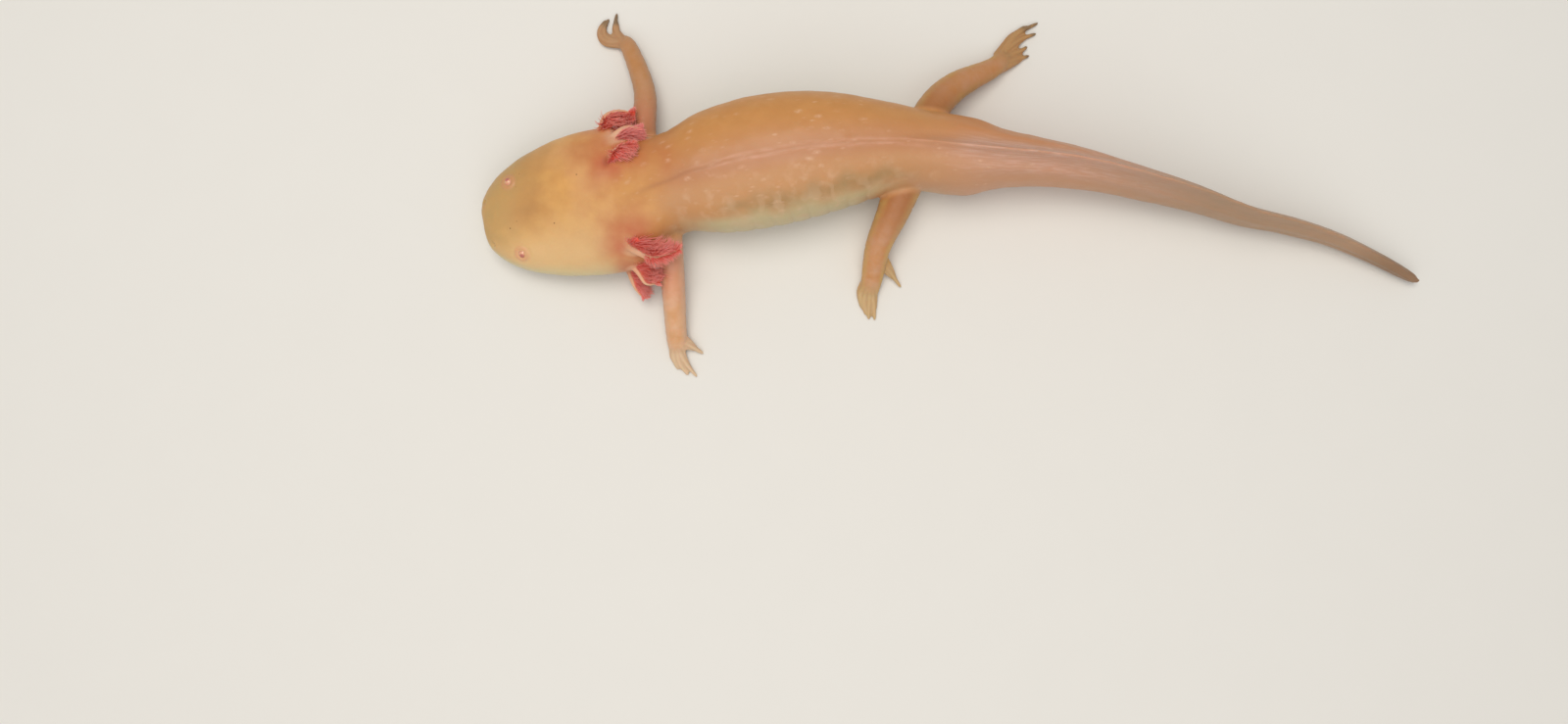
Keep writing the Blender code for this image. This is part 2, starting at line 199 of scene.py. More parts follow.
def sectionSizes(s):
    # half width, level of the widest place, reach above it and below it
    bottom, top = bottomAt(s), topAt(s)
    middle = bottom + body["widestLevel"] * (top - bottom)
    depth = roundness(s, body["snoutDepth"])
    wide = halfWidthAt(s) * roundness(s, body["headLength"])
    return wide, middle, (top - middle) * depth, (middle - bottom) * depth


def loft(rings):
    # closed skin over rings of equal counts, as points and faces
    count, around = rings.shape[:2]
    points = rings.reshape(-1, 3)
    i = np.arange(count - 1)[:, None] * around
    j = np.arange(around)[None, :]
    k = (j + 1) % around
    quads = np.stack([i + j, i + k, i + around + k, i + around + j], axis=-1).reshape(-1, 4)
    ends = [list(range(around - 1, -1, -1)), [(count - 1) * around + n for n in range(around)]]
    return points, quads.tolist() + ends


def bodyLoft():
    # its rings lie closest together at the snout
    s = body["length"] * np.linspace(0.008, 1.0, body["rings"]) ** 1.25
    turn = turnOf(body["sides"])
    wide, middle, above, below = [a[:, None] for a in sectionSizes(s)]
    wave = 2.0 / body["squareness"]
    cos = np.sign(np.cos(turn)) * np.abs(np.cos(turn)) ** wave
    sin = np.sign(np.sin(turn)) * np.abs(np.sin(turn)) ** wave
    up = middle + np.where(sin > 0, above, below) * sin
    shape = np.broadcast_to(s[:, None], up.shape)
    return loft(place(shape, wide * cos, up))


tail = {
    "start": 76.0,  # where the low ridge of the back begins to rise
    "dorsal": [(76.0, 22.05), (88.0, 21.55), (97.0, 21.5), (108.0, 22.1), (122.0, 21.9), (138.0, 20.3),
               (156.0, 16.8), (174.0, 12.1), (190.0, 7.3), (206.0, 3.8)],
    "ventral": [(76.0, 0.6), (100.0, 0.9), (112.0, 0.8), (120.0, 0.05), (192.0, 0.05), (206.0, 0.3)],
    "thick": (0.9, 0.26),  # half thickness of the fin at the body and at its edge
    "blend": 2.2,  # how sharply the fin and the flesh join: 1 is a wide fillet
    "skirt": 0.3,  # how wide the fin's foot is, as a share of the body's half width
    "skirtFrom": (84.0, 112.0),  # where the fin's foot sets in and where it is full
    "ragged": [(0.18, 0.83, 0.0), (0.12, 1.97, 1.0)],  # waves of the upper edge: size, pace, start
    "raggedFrom": (104.0, 118.0),
    "tipLength": 7.0,
    "rings": 330,
    "levels": 90,
}


def tailLoft():
    # the section is a half width at each level, with the fins growing softly out of the flesh
    s = np.linspace(tail["start"], body["length"], tail["rings"])
    dorsal = column(tail["dorsal"], 1)(s)
    ventral = column(tail["ventral"], 1)(s)
    tip = np.clip((body["length"] - s) / tail["tipLength"], 0.0, 1.0)
    shrink = roundEnd(tip, 0.004)
    centre = 0.5 * (dorsal + ventral)
    ragged = sum(size * np.sin(s * pace + start) for size, pace, start in tail["ragged"])
    high = centre + (dorsal - centre) * shrink + ragged * ease(*tail["raggedFrom"], s) * shrink - 0.15
    low = centre + (ventral - centre) * shrink
    share = 0.5 - 0.5 * np.cos(np.linspace(0.0, math.pi, tail["levels"]))
    level = low[:, None] + (high - low)[:, None] * share[None, :]
    wide, middle, above, below = [a[:, None] for a in sectionSizes(s)]
    off = np.where(level > middle, (level - middle) / above, (middle - level) / below)
    flesh = wide * np.maximum(1.0 - off ** body["squareness"], 0.0) ** (1.0 / body["squareness"])
    base, edge = tail["thick"]
    out = np.where(level > middle, (level - middle - above) / np.maximum(high[:, None] - middle - above, 0.2),
                   (middle - below - level) / np.maximum(middle - below - low[:, None], 0.2))
    out = np.clip(out, 0.0, 1.0)
    skirt = tail["skirt"] * wide * ease(*tail["skirtFrom"], s)[:, None]
    inside = np.where(level > middle, middle + above - level, level - middle + below)
    fin = (base + (edge - base) * out + skirt * (1.0 - out) ** 3) * ease(4.0, 0.0, inside)
    fromEdge = np.minimum(high[:, None] - level, level - low[:, None])
    fin = fin * np.sqrt(np.clip(fromEdge / (2.2 * edge), 0.0, 1.0)) * np.sqrt(shrink)[:, None]
    half = (flesh ** tail["blend"] + fin ** tail["blend"]) ** (1.0 / tail["blend"])
    half = half * np.clip(fromEdge / 0.3, 0.0, 1.0) ** 0.5 + 0.004
    side = np.broadcast_to(s[:, None], half.shape)
    left = place(side, -half, level)
    right = place(side, half, level)
    return loft(np.concatenate([left, right[:, ::-1]], axis=1))


def tube(route, radii, flat, steps, sides):
    # oval rings along a route
    ahead = aheadOn(route, steps)
    side = unit(np.cross(ahead, (0.0, 0.0, 1.0)))
    up = np.cross(side, ahead)
    turn = turnOf(sides)
    rings = route(steps)[:, None, :] + radii[:, None, None] * (
        side[:, None, :] * np.cos(turn)[None, :, None]
        + up[:, None, :] * (flat[:, None] * np.sin(turn)[None, :])[..., None])
    return loft(rings)


legs = {
    "leftFore": dict(
        route=[(-60.4, -4.0, 9.0), (-60.2, -13.5, 7.6), (-59.8, -22.0, 5.4), (-59.5, -31.0, 2.5),
               (-59.1, -34.6, 1.0)],
        radii=[2.6, 2.7, 2.55, 2.25, 2.0], flat=[1.0, 1.0, 0.95, 0.75, 0.55], wrist=3.0, dusky=0.0,
        toes=[[(-59.3, -31.6, 1.9), (-56.7, -33.0, 1.3), (-53.7, -34.8, 0.3)],
              [(-59.2, -33.6, 1.1), (-57.6, -36.8, 0.8), (-55.1, -40.0, 0.3)],
              [(-59.6, -34.0, 1.1), (-58.9, -37.0, 0.8), (-57.0, -39.6, 0.3)],
              [(-60.0, -33.4, 1.1), (-60.4, -35.6, 0.8), (-59.3, -38.4, 0.3)]]),
    "rightFore": dict(
        route=[(-65.6, 4.0, 9.0), (-66.0, 13.5, 7.0), (-66.2, 22.0, 4.8), (-69.6, 31.4, 2.4),
               (-71.9, 34.0, 1.0)],
        radii=[2.6, 2.6, 2.35, 1.9, 1.7], flat=[1.0, 1.0, 0.95, 0.8, 0.55], wrist=3.0, dusky=1.0,
        toes=[[(-71.8, 33.2, 1.1), (-75.3, 33.7, 0.8), (-76.6, 36.0, 0.6), (-75.2, 38.6, 0.3)],
              [(-71.8, 33.4, 1.1), (-74.7, 34.4, 0.8), (-75.5, 36.2, 0.6), (-74.5, 38.9, 0.3)],
              [(-71.6, 33.8, 1.1), (-73.1, 36.4, 0.7), (-72.8, 40.1, 0.3)],
              [(-71.4, 33.6, 1.1), (-72.4, 35.6, 0.7), (-72.7, 38.0, 0.3)]]),
    "leftHind": dict(
        route=[(-9.6, 4.0, 9.0), (-12.8, -4.5, 7.8), (-15.8, -11.6, 5.8), (-16.9, -18.0, 2.7),
               (-17.6, -22.4, 1.0)],
        radii=[4.4, 3.5, 2.8, 2.35, 1.9], flat=[1.0, 1.0, 0.95, 0.75, 0.5], wrist=2.8, dusky=0.0,
        toes=[[(-15.6, -14.2, 3.3), (-13.1, -16.8, 1.8), (-10.3, -20.4, 0.3)],
              [(-16.8, -20.4, 1.1), (-16.4, -24.0, 0.7), (-16.2, -27.6, 0.3)],
              [(-17.4, -20.8, 1.1), (-17.5, -24.4, 0.7), (-17.5, -27.4, 0.3)],
              [(-18.0, -20.4, 1.1), (-18.7, -23.4, 0.7), (-18.1, -26.4, 0.3)],
              [(-17.6, -18.2, 1.6), (-19.5, -21.6, 0.8), (-19.1, -24.9, 0.3)]]),
    "rightHind": dict(
        route=[(-7.6, 10.0, 9.0), (-4.6, 17.0, 7.8), (0.6, 22.5, 6.0), (9.6, 27.6, 2.8),
               (12.4, 31.4, 1.1)],
        radii=[3.9, 3.6, 3.1, 2.1, 1.9], flat=[1.0, 1.0, 0.95, 0.8, 0.55], wrist=2.8, dusky=1.0,
        toes=[[(10.0, 28.0, 1.9), (14.6, 29.6, 0.8), (17.9, 30.7, 0.3)],
              [(11.8, 30.0, 1.1), (15.4, 31.4, 0.7), (17.4, 32.7, 0.3)],
              [(12.4, 31.4, 1.1), (15.6, 34.0, 0.7), (19.4, 35.6, 0.3)],
              [(12.4, 32.0, 1.1), (15.2, 35.4, 0.7), (19.9, 38.0, 0.3)],
              [(10.6, 30.0, 1.5), (13.7, 34.6, 0.8), (16.9, 37.3, 0.3)]]),
}
limb = {
    "tipRound": 0.35,  # length of the rounded end, in steps of the route
    "rings": 110,
    "sides": 36,
}
toe = {
    "radii": (1.35, 0.88, 0.34),
    "inner": 1.6,  # how much thicker the innermost toe's root is
    "flat": 0.75,
    "tipRound": 0.28,
    "touch": 1.3,  # how far from its mid-line the skin counts as the toe's
    "groove": (0.62, 0.22),  # how far out the dip between toes lies, and its spread
    "rings": 48,
    "sides": 20,
    "plan": (1.0, 1.0, 0.3),  # toes are told apart mostly as seen from above
}


def legLofts(leg):
    last = len(leg["route"]) - 1
    knots = range(last + 1)
    steps = np.linspace(0.0, last, limb["rings"])
    left = np.clip((last - steps) / limb["tipRound"], 0.0, 1.0)
    radii = curveThrough(knots, leg["radii"])(steps) * roundEnd(left)
    flat = curveThrough(knots, leg["flat"])(steps)
    made = [tube(routeThrough(leg["route"]), radii, flat, steps, limb["sides"])]
    for i, points in enumerate(leg["toes"]):
        last = len(points) - 1
        steps = np.linspace(0.0, last, toe["rings"])
        left = np.clip((last - steps) / toe["tipRound"], 0.0, 1.0)
        radii = curveThrough([0.0, 0.5 * last, last], toe["radii"])(steps)
        if i == 0 and last == 2:  # not where the innermost toe is curled
            radii = radii * (1.0 + (toe["inner"] - 1.0) * ease(last, 0.0, steps))
        flat = np.full(len(steps), toe["flat"])
        made.append(tube(routeThrough(points), radii * roundEnd(left), flat, steps, toe["sides"]))
    return made


# each stalk's route and thickness, then the way its filaments point, their reach, their lean towards
# the tip and how pink they are; they begin at the share start of the stalk, and from both on they
# grow on its far side too
gills = {
    "left_upper": dict(
        route=[(-70.4, -10.9, 13.0), (-66.8, -13.4, 14.8), (-63.0, -15.0, 15.0), (-57.6, -13.4, 14.4)],
        fringe=(0.1, 0.95, 0.3), reach=6.4, thick=1.15, start=0.05, lean=0.5, pink=0.15, both=0.5),
    "left_middle": dict(
        route=[(-70.6, -14.0, 9.0), (-67.2, -17.3, 9.5), (-65.2, -20.0, 9.2), (-62.4, -19.8, 9.4)],
        fringe=(0.55, 0.85, 0.25), reach=6.4, thick=0.8, start=0.02, lean=0.3, pink=0.2, both=0.88),
    "left_lower": dict(
        route=[(-70.4, -14.6, 5.4), (-68.9, -18.8, 4.9), (-68.0, -21.0, 4.3), (-66.4, -22.9, 3.6)],
        fringe=(0.9, 0.45, 0.0), reach=4.6, thick=0.7, start=0.08, lean=0.4, pink=0.45, both=0.9),
    "right_upper": dict(
        route=[(-72.8, 4.2, 15.2), (-70.8, 6.6, 16.8), (-69.0, 7.9, 17.2), (-66.4, 8.2, 17.0)],
        fringe=(0.5, -0.6, 0.45), reach=4.8, thick=0.7, start=0.06, lean=0.4, pink=0.0, both=0.78),
    "right_middle": dict(
        route=[(-73.6, 8.0, 12.0), (-71.2, 10.4, 13.2), (-68.8, 12.0, 13.6), (-65.6, 12.0, 13.2)],
        fringe=(0.6, -0.75, 0.15), reach=6.0, thick=1.3, start=0.22, lean=0.5, pink=0.7, both=0.78),
    "right_lower": dict(
        route=[(-75.0, 11.0, 9.4), (-74.0, 14.8, 10.4), (-71.2, 16.2, 10.8), (-67.4, 15.8, 10.8)],
        fringe=(0.15, -0.95, 0.0), reach=8.8, thick=0.75, start=0.0, lean=0.0, pink=0.0, both=0.88),
}
stalk = {"radii": (1.15, 0.66, 0.3), "flat": 0.72, "sides": 24, "rings": 40}


def gillRoute(gill):
    return routeThrough(gill["route"])


def stalkRadius(gill, share):
    return gill["thick"] * curveThrough([0.0, 0.5, 1.0], stalk["radii"])(share)


def stalkLoft(gill):
    last = len(gill["route"]) - 1
    steps = np.linspace(0.0, last, stalk["rings"])
    radii = stalkRadius(gill, steps / last)
    radii = radii * np.sqrt(np.maximum(1.0 - ease(0.93 * last, 1.02 * last, steps) ** 2, 0.05))
    return tube(gillRoute(gill), radii, np.full(len(steps), stalk["flat"]), steps, stalk["sides"])


eyes = {
    "left": (8.1, -7.9, 9.5),  # along the spine, across it, up
    "right": (8.4, 7.0, 10.1),
    "radius": 1.1,
    "dome": 0.09,  # how far the front stands out, as a share of the radius
    "domeEdge": (0.75, 0.95),  # it rises between these cosines of the angle from the gaze
    "gaze": (0.75, 0.25, 0.8),  # which way they look: to the side, forward and up
    "rings": 40,
    "sides": 48,
}


def eyeCentre(side):
    return place(*[np.array(v) for v in eyes[side]])


def newMesh(name, parts):
    points = np.concatenate([p for p, f in parts])
    start = np.cumsum([0] + [len(p) for p, f in parts])
    faces = [[v + first for v in face] for first, (p, f) in zip(start, parts) for face in f]
    mesh = bpy.data.meshes.new(name)
    mesh.from_pydata(points * mm, [], faces)
    return mesh


def keepValue(mesh, name, values):
    layer = mesh.attributes.new(name, "FLOAT", "POINT")
    layer.data.foreach_set("value", np.asarray(values).astype(np.float32))


def keepPlace(mesh, name, places):
    layer = mesh.attributes.new(name, "FLOAT_VECTOR", "POINT")
    layer.data.foreach_set("vector", places.astype(np.float32).ravel())


skin = {
    "voxel": 0.2,
    "rootBlend": 3.4,  # how far from a limb's root its join is smoothed
    "rootPasses": 60,
    "stalkBlend": 1.8,
    "stalkPasses": 14,
    "webReach": (2.8, 1.0),  # from no smoothing to full, by distance from a toe's root
    "webPasses": 8,
    "palmReach": (3.8, 1.6),
    "palmPasses": 14,
    "finePasses": 3,
    "floor": 0.0,
}


def wholeSkin():
    parts = [bodyLoft(), tailLoft()]
    for leg in legs.values():
        parts += legLofts(leg)
    parts += [stalkLoft(gill) for gill in gills.values()]
    rough = bpy.data.objects.new("roughSkin", newMesh("roughSkin", parts))
    bpy.context.scene.collection.objects.link(rough)
    remesh = rough.modifiers.new("whole", "REMESH")
    remesh.mode = "VOXEL"
    remesh.voxel_size = skin["voxel"] * mm
    remesh.adaptivity = 0.0
    ready = rough.evaluated_get(bpy.context.evaluated_depsgraph_get())
    mesh = bpy.data.meshes.new_from_object(ready)
    bpy.data.objects.remove(rough, do_unlink=True)
    return mesh


class Sculpt:
    # the skin's points as an array, with smoothing and moves along the normals
    def __init__(self, mesh):
        self.mesh = mesh
        self.points = np.empty(len(mesh.vertices) * 3)
        mesh.vertices.foreach_get("co", self.points)
        self.points = self.points.reshape(-1, 3) / mm
        self.edges = np.empty(len(mesh.edges) * 2, np.int64)
        mesh.edges.foreach_get("vertices", self.edges)
        self.edges = self.edges.reshape(-1, 2)
        self.degree = np.bincount(self.edges.ravel(), minlength=len(self.points))[:, None]
        corners = np.empty(len(mesh.loops), np.int64)
        mesh.loops.foreach_get("vertex_index", corners)
        self.quads = corners.reshape(-1, 4)

    def smooth(self, weight, passes):
        a, b = self.edges.T
        for _ in range(passes):
            mean = np.stack([np.bincount(a, self.points[b, i], len(self.points))
                             + np.bincount(b, self.points[a, i], len(self.points)) for i in range(3)], axis=1)
            self.points += (mean / self.degree - self.points) * 0.5 * weight

    def normals(self):
        corner = self.points[self.quads]
        cross = np.cross(corner[:, 2] - corner[:, 0], corner[:, 3] - corner[:, 1])
        return unit(np.stack([sum(np.bincount(self.quads[:, c], cross[:, i], len(self.points))
                                  for c in range(4)) for i in range(3)], axis=1))

    def store(self):
        self.mesh.vertices.foreach_set("co", (self.points * mm).ravel())
        self.mesh.update()


def nearest(points, route, last, count=140):
    # place along a route and distance from it, for every point
    steps = np.linspace(0.0, last, count)
    line = route(steps)
    best = np.full(len(points), 1e9)
    at = np.zeros(len(points))
    for step, spot in zip(steps, line):
        apart = ((points - spot) ** 2).sum(1)
        closer = apart < best
        best = np.where(closer, apart, best)
        at = np.where(closer, step, at)
    return at, np.sqrt(best)


def limbPlaces(skinPoints, outside):
    # for points outside the body: where they are on a leg, and which kind of leg it is
    count = len(skinPoints)
    found = {name: np.zeros(count) for name in ("along", "toes", "tips", "gaps", "edge", "hind", "dusky")}
    found["apart"] = np.full(count, 1e3)
    where = np.flatnonzero(outside)
    p = skinPoints[where]
    for name, leg in legs.items():
        last = len(leg["route"]) - 1
        route = routeThrough(leg["route"])
        radius = curveThrough(range(last + 1), leg["radii"])
        ends = np.array(leg["route"] + [points[-1] for points in leg["toes"]])
        near = np.flatnonzero(((p > ends.min(0) - 5.0) & (p < ends.max(0) + 5.0)).all(1))
        step, far = nearest(p[near], route, last)
        ratio = far / radius(step)
        side = unit(np.cross(aheadOn(route, step), (0.0, 0.0, 1.0)))
        across = ((p[near] - route(step)) * side).sum(1)
        toeShare = ease(leg["wrist"] + 0.1, leg["wrist"] + 1.2, step)
        tipShare = np.zeros(len(near))
        fromToes = np.full(len(near), 9.0)
        for knots in leg["toes"]:
            end = len(knots) - 1
            along, far = nearest(p[near], routeThrough(knots), end, 50)
            line = routeThrough(np.array(knots) * toe["plan"])
            fromToes = np.minimum(fromToes, nearest(p[near] * toe["plan"], line, end, 50)[1])
            on = far < toe["touch"]
            ratio = np.where(on, np.minimum(ratio, far / toe["touch"]), ratio)
            toeShare = np.where(on, np.maximum(toeShare, ease(0.1, 0.6, along / end)), toeShare)
            tipShare = np.where(on, np.maximum(tipShare, ease(0.74, 0.92, along / end)), tipShare)
        closer = ratio < found["apart"][where[near]]
        index = where[near][closer]
        values = {"apart": ratio, "along": step / last, "toes": toeShare, "tips": tipShare * leg["dusky"],
                  "gaps": hump(fromToes, *toe["groove"]),
                  "edge": ease(0.4, 0.95, np.abs(across) / radius(step)),
                  "hind": np.full(len(near), float("Hind" in name)),
                  "dusky": np.full(len(near), leg["dusky"])}
        for key, value in values.items():
            found[key][index] = value[closer]
    return found


def placesOf(points):
    # where every point p of the skin lies on the body, its limbs and its gill stalks: s along the
    # spine, across it, at what turn round it, and at 1 on the body's own surface in section
    at = {"p": points}
    at["s"], at["across"] = onBody(points)
    wide, middle, above, below = sectionSizes(at["s"])
    rise = (points[:, 2] - middle) / np.where(points[:, 2] > middle, above, below)
    at["sideways"] = at["across"] / np.maximum(wide, 0.3)
    power = body["squareness"]
    at["section"] = (np.abs(rise) ** power + np.abs(at["sideways"]) ** power) ** (1.0 / power)
    at["turn"] = np.degrees(np.arctan2(rise, np.abs(at["sideways"])))  # 90 on the back, -90 on the belly
    at["finLike"] = (at["s"] > 95.0) & (np.abs(at["across"]) < np.maximum(wide, 1.6))
    at.update(limbPlaces(points, (at["section"] > 1.04) & ~at["finLike"]))
    onStalk = np.zeros(len(points))
    for gill in gills.values():
        last = len(gill["route"]) - 1
        near = np.flatnonzero(np.linalg.norm(points - gillRoute(gill)(0.5 * last), axis=1) < 9.0)
        step, far = nearest(points[near], gillRoute(gill), last, 80)
        onThis = ease(2.3, 1.5, far / gill["thick"]) * ease(0.25, 1.0, step)
        onStalk[near] = np.maximum(onStalk[near], onThis)
    at["stalk"] = onStalk
    at["limb"] = ease(1.0, 1.18, at["section"]) * ease(2.6, 1.7, at["apart"]) * (1.0 - onStalk)
    at["body"] = (1.0 - at["limb"]) * (1.0 - onStalk)
    return at


def smoothJoins(form):
    # the roots of the limbs and stalks, the webs between the toes, and the palms
    roots = []
    for leg in legs.values():
        spots = routeThrough(leg["route"])(np.linspace(0.0, 1.6, 60))
        s, across = onBody(spots)
        roots.append(spots[np.argmax(np.abs(across) > sectionSizes(s)[0] * 0.97)])
    weight = hump(fromNearest(form.points, roots), 0.0, skin["rootBlend"])
    form.smooth(np.clip(weight * 1.6, 0.0, 1.0)[:, None], skin["rootPasses"])
    roots = [gillRoute(gill)(0.45) for gill in gills.values()]
    weight = hump(fromNearest(form.points, roots), 0.0, skin["stalkBlend"])
    form.smooth(np.clip(weight * 1.5, 0.0, 1.0)[:, None], skin["stalkPasses"])
    roots = [points[0] for leg in legs.values() for points in leg["toes"]]
    form.smooth(ease(*skin["webReach"], fromNearest(form.points, roots))[:, None], skin["webPasses"])
    palms = [leg["route"][-1] for leg in legs.values()]
    form.smooth(ease(*skin["palmReach"], fromNearest(form.points, palms))[:, None], skin["palmPasses"])


folds = {
    # the grooves of the flanks: the distance between them, where one lies along the spine, how strong
    # they are on either flank, the swelling between them, and the depth and spread of each
    "costal": dict(pitch=4.3, first=61.0, left=0.5, right=0.1, swell=0.09, depth=0.28, spread=0.42),
    # how far the ridge of the back lies from the spine, by distance along it
    "crest": [(30.0, -1.6), (42.0, -0.8), (50.0, -0.3), (66.0, -0.3), (82.0, -0.5), (98.0, -0.4)],
    # height, place and spread of each hump or dip, across from the ridge
    "ridge": [(0.04, 0.5, 0.36), (0.03, -0.5, 0.36), (-0.035, 0.0, 0.36)],
    "besideRidge": [(-0.02, 1.5, 0.6)],  # on both sides of it
    "slits": [(-68.2, -11.4, 13.2), (-72.6, 4.6, 15.0)],  # in X, Y and Z
    # depth of each fold, its distance along the spine, and its spread
    "throat": [(0.45, 33.0, 0.6), (0.25, 36.5, 0.5)],
    "neck": [(0.16, 40.2, 0.7), (0.1, 43.4, 0.6)],
    "vent": (103.2, -5.2, 4.6),  # along the spine, across it, up
}


def trunkFolds(at):
    s, turn, across, p = at["s"], at["turn"], at["across"], at["p"]
    # costal grooves down the flanks
    costal = folds["costal"]
    phase = (s - costal["first"] + 0.10 * (p[:, 2] - 10.0) + softNoise(p, 6.0, 3) * 0.4) / costal["pitch"]
    gap = np.abs(phase - np.round(phase)) * costal["pitch"]
    flank = ease(-62.0, -30.0, turn) * ease(46.0, 8.0, turn) * ease(45.0, 51.0, s) * ease(99.0, 92.0, s)
    strength = np.where(across < 0.0, costal["left"], costal["right"])
    flank *= strength * (0.8 + 0.35 * softNoise(p, 7.0, 4)) * at["body"] ** 2
    move = flank * (0.05 - costal["swell"] * np.cos(2 * math.pi * phase)
                    - costal["depth"] * hump(gap, 0.0, costal["spread"]))
    at["groove"] = flank * hump(gap, 0.0, 0.4)
    at["swell"] = 0.5 - 0.5 * np.cos(2 * math.pi * phase)
    # the low double ridge of the back
    line = column(folds["crest"], 1)
    ends = folds["crest"][0][0], folds["crest"][-1][0]
    crest = across - line(np.clip(s, *ends)) + 0.2 * softNoise(p, 4.0, 24)
    onBack = ease(30.0, 60.0, turn) * ease(33.0, 42.0, s) * ease(99.0, 88.0, s)
    move += onBack * (0.8 + 0.4 * softNoise(p, 3.0, 25)) * (
        profile(crest, folds["ridge"]) + profile(np.abs(crest), folds["besideRidge"]))
    at["crest"], at["onBack"] = crest, onBack
    # the slits in front of the upper gills, dented in; the same mask carries their dark red painted shade
    at["slit"] = np.zeros(len(p))
    for spot in folds["slits"]:
        far = np.linalg.norm((p - spot) * (1.0, 0.8, 0.6), axis=1)
        at["slit"] = np.maximum(at["slit"], hump(far, 0.0, 0.8))
    move -= 0.5 * at["slit"] * at["body"]
    # throat fold, loose skin of the neck and the swelling behind the hind legs
    for name, where in (("throat", ease(0.0, -40.0, turn)), ("neck", ease(60.0, 20.0, np.abs(turn)))):
        move -= at["body"] * where * profile(s, folds[name])
    vent = place(*[np.array(v) for v in folds["vent"]])
    at["vent"] = hump(np.linalg.norm((p - vent) * (0.7, 1.0, 1.0), axis=1), 0.0, 3.2)
    return move + 0.55 * at["vent"]


face = {
    "lip": 4.25,  # level of the mouth at the snout
    "mouthEnd": 20.5,  # distance along the spine
    "nostril": (1.9, 4.7),  # along the spine and across it, as are the cheeks
    "cheek": (24.5, 6.4),
    # height, place and spread of each hump or dip: up from the mouth, and outward from the eye's
    # centre and from the nostril's
    "lips": [(0.16, 0.85, 0.55), (-0.55, 0.0, 0.3), (-0.2, -0.9, 0.6)],
    "eyeMound": [(0.3, 0.0, 3.2), (0.12, 1.35, 0.24), (-0.08, 1.95, 0.35)],
    "nostrilRim": [(0.1, 0.7, 0.28), (-0.45, 0.0, 0.36)],
}


def faceFolds(at):
    s, turn, across, p = at["s"], at["turn"], at["across"], at["p"]
    lip = face["lip"] + 0.55 * ease(2.0, 12.0, s) - 0.7 * ease(14.0, 19.5, s)
    onFace = ease(face["mouthEnd"], face["mouthEnd"] - 2.0, s) * ease(62.0, 40.0, np.abs(turn)) * at["body"]
    fromLip = p[:, 2] - lip
    at["mouth"] = onFace * hump(fromLip, 0.0, 0.35)
    move = onFace * profile(fromLip, face["lips"])
    corner = np.hypot(s - face["mouthEnd"], (p[:, 2] - 4.0) * 1.2)
    move -= 0.3 * hump(corner, 0.0, 1.5) * ease(70.0, 40.0, np.abs(turn))
    # a shallow dip between the eyes and fuller cheeks behind them
    onTop = ease(20.0, 50.0, turn)
    move -= 0.22 * onTop * hump(across, 0.0, 2.6) * hump(s, 12.0, 8.0)
    cheek, aside = face["cheek"]
    move += 0.42 * onTop * hump(np.abs(across), aside, 3.2) * hump(s, cheek, 5.5)
    move -= 0.16 * onTop * hump(across, 0.0, 1.2) * hump(s, 26.0, 7.0)
    # a low mound with a rim round each eye
    at["lids"] = np.zeros(len(p))
    for side in ("left", "right"):
        far = np.linalg.norm(p - eyeCentre(side), axis=1)
        move += profile(far, face["eyeMound"])
        at["lids"] = np.maximum(at["lids"], hump(far, 1.3, 0.5))
    ahead, aside = face["nostril"]
    for side in (-aside, aside):
        far = np.hypot(s - ahead, (across - side) * 0.8)
        move += (turn > 0.0) * profile(far, face["nostrilRim"])
    return move


def limbFolds(at):
    bend = np.abs(np.sin(at["along"] * 46.0 + softNoise(at["p"], 2.0, 5)))
    creases = 0.06 * (1.0 - at["toes"]) * hump(bend, 0.0, 0.35)
    return -at["limb"] * (creases + 0.18 * at["toes"] * at["gaps"])


# places of the red and dusky marks, in X, Y and mostly Z
marks = {
    "blush": [(-66.8, -11.7, 15.8)],  # besides the roots of the gills
    "dusk": [(-77.0, 7.0), (-73.5, 3.0), (-66.0, 5.5), (-61.0, 5.8), (-69.6, -8.8)],
    "armBlush": [(-60.7, -15.5, 7.5), (-60.3, -20.0, 6.5), (-66.2, 15.5, 7.0)],
}


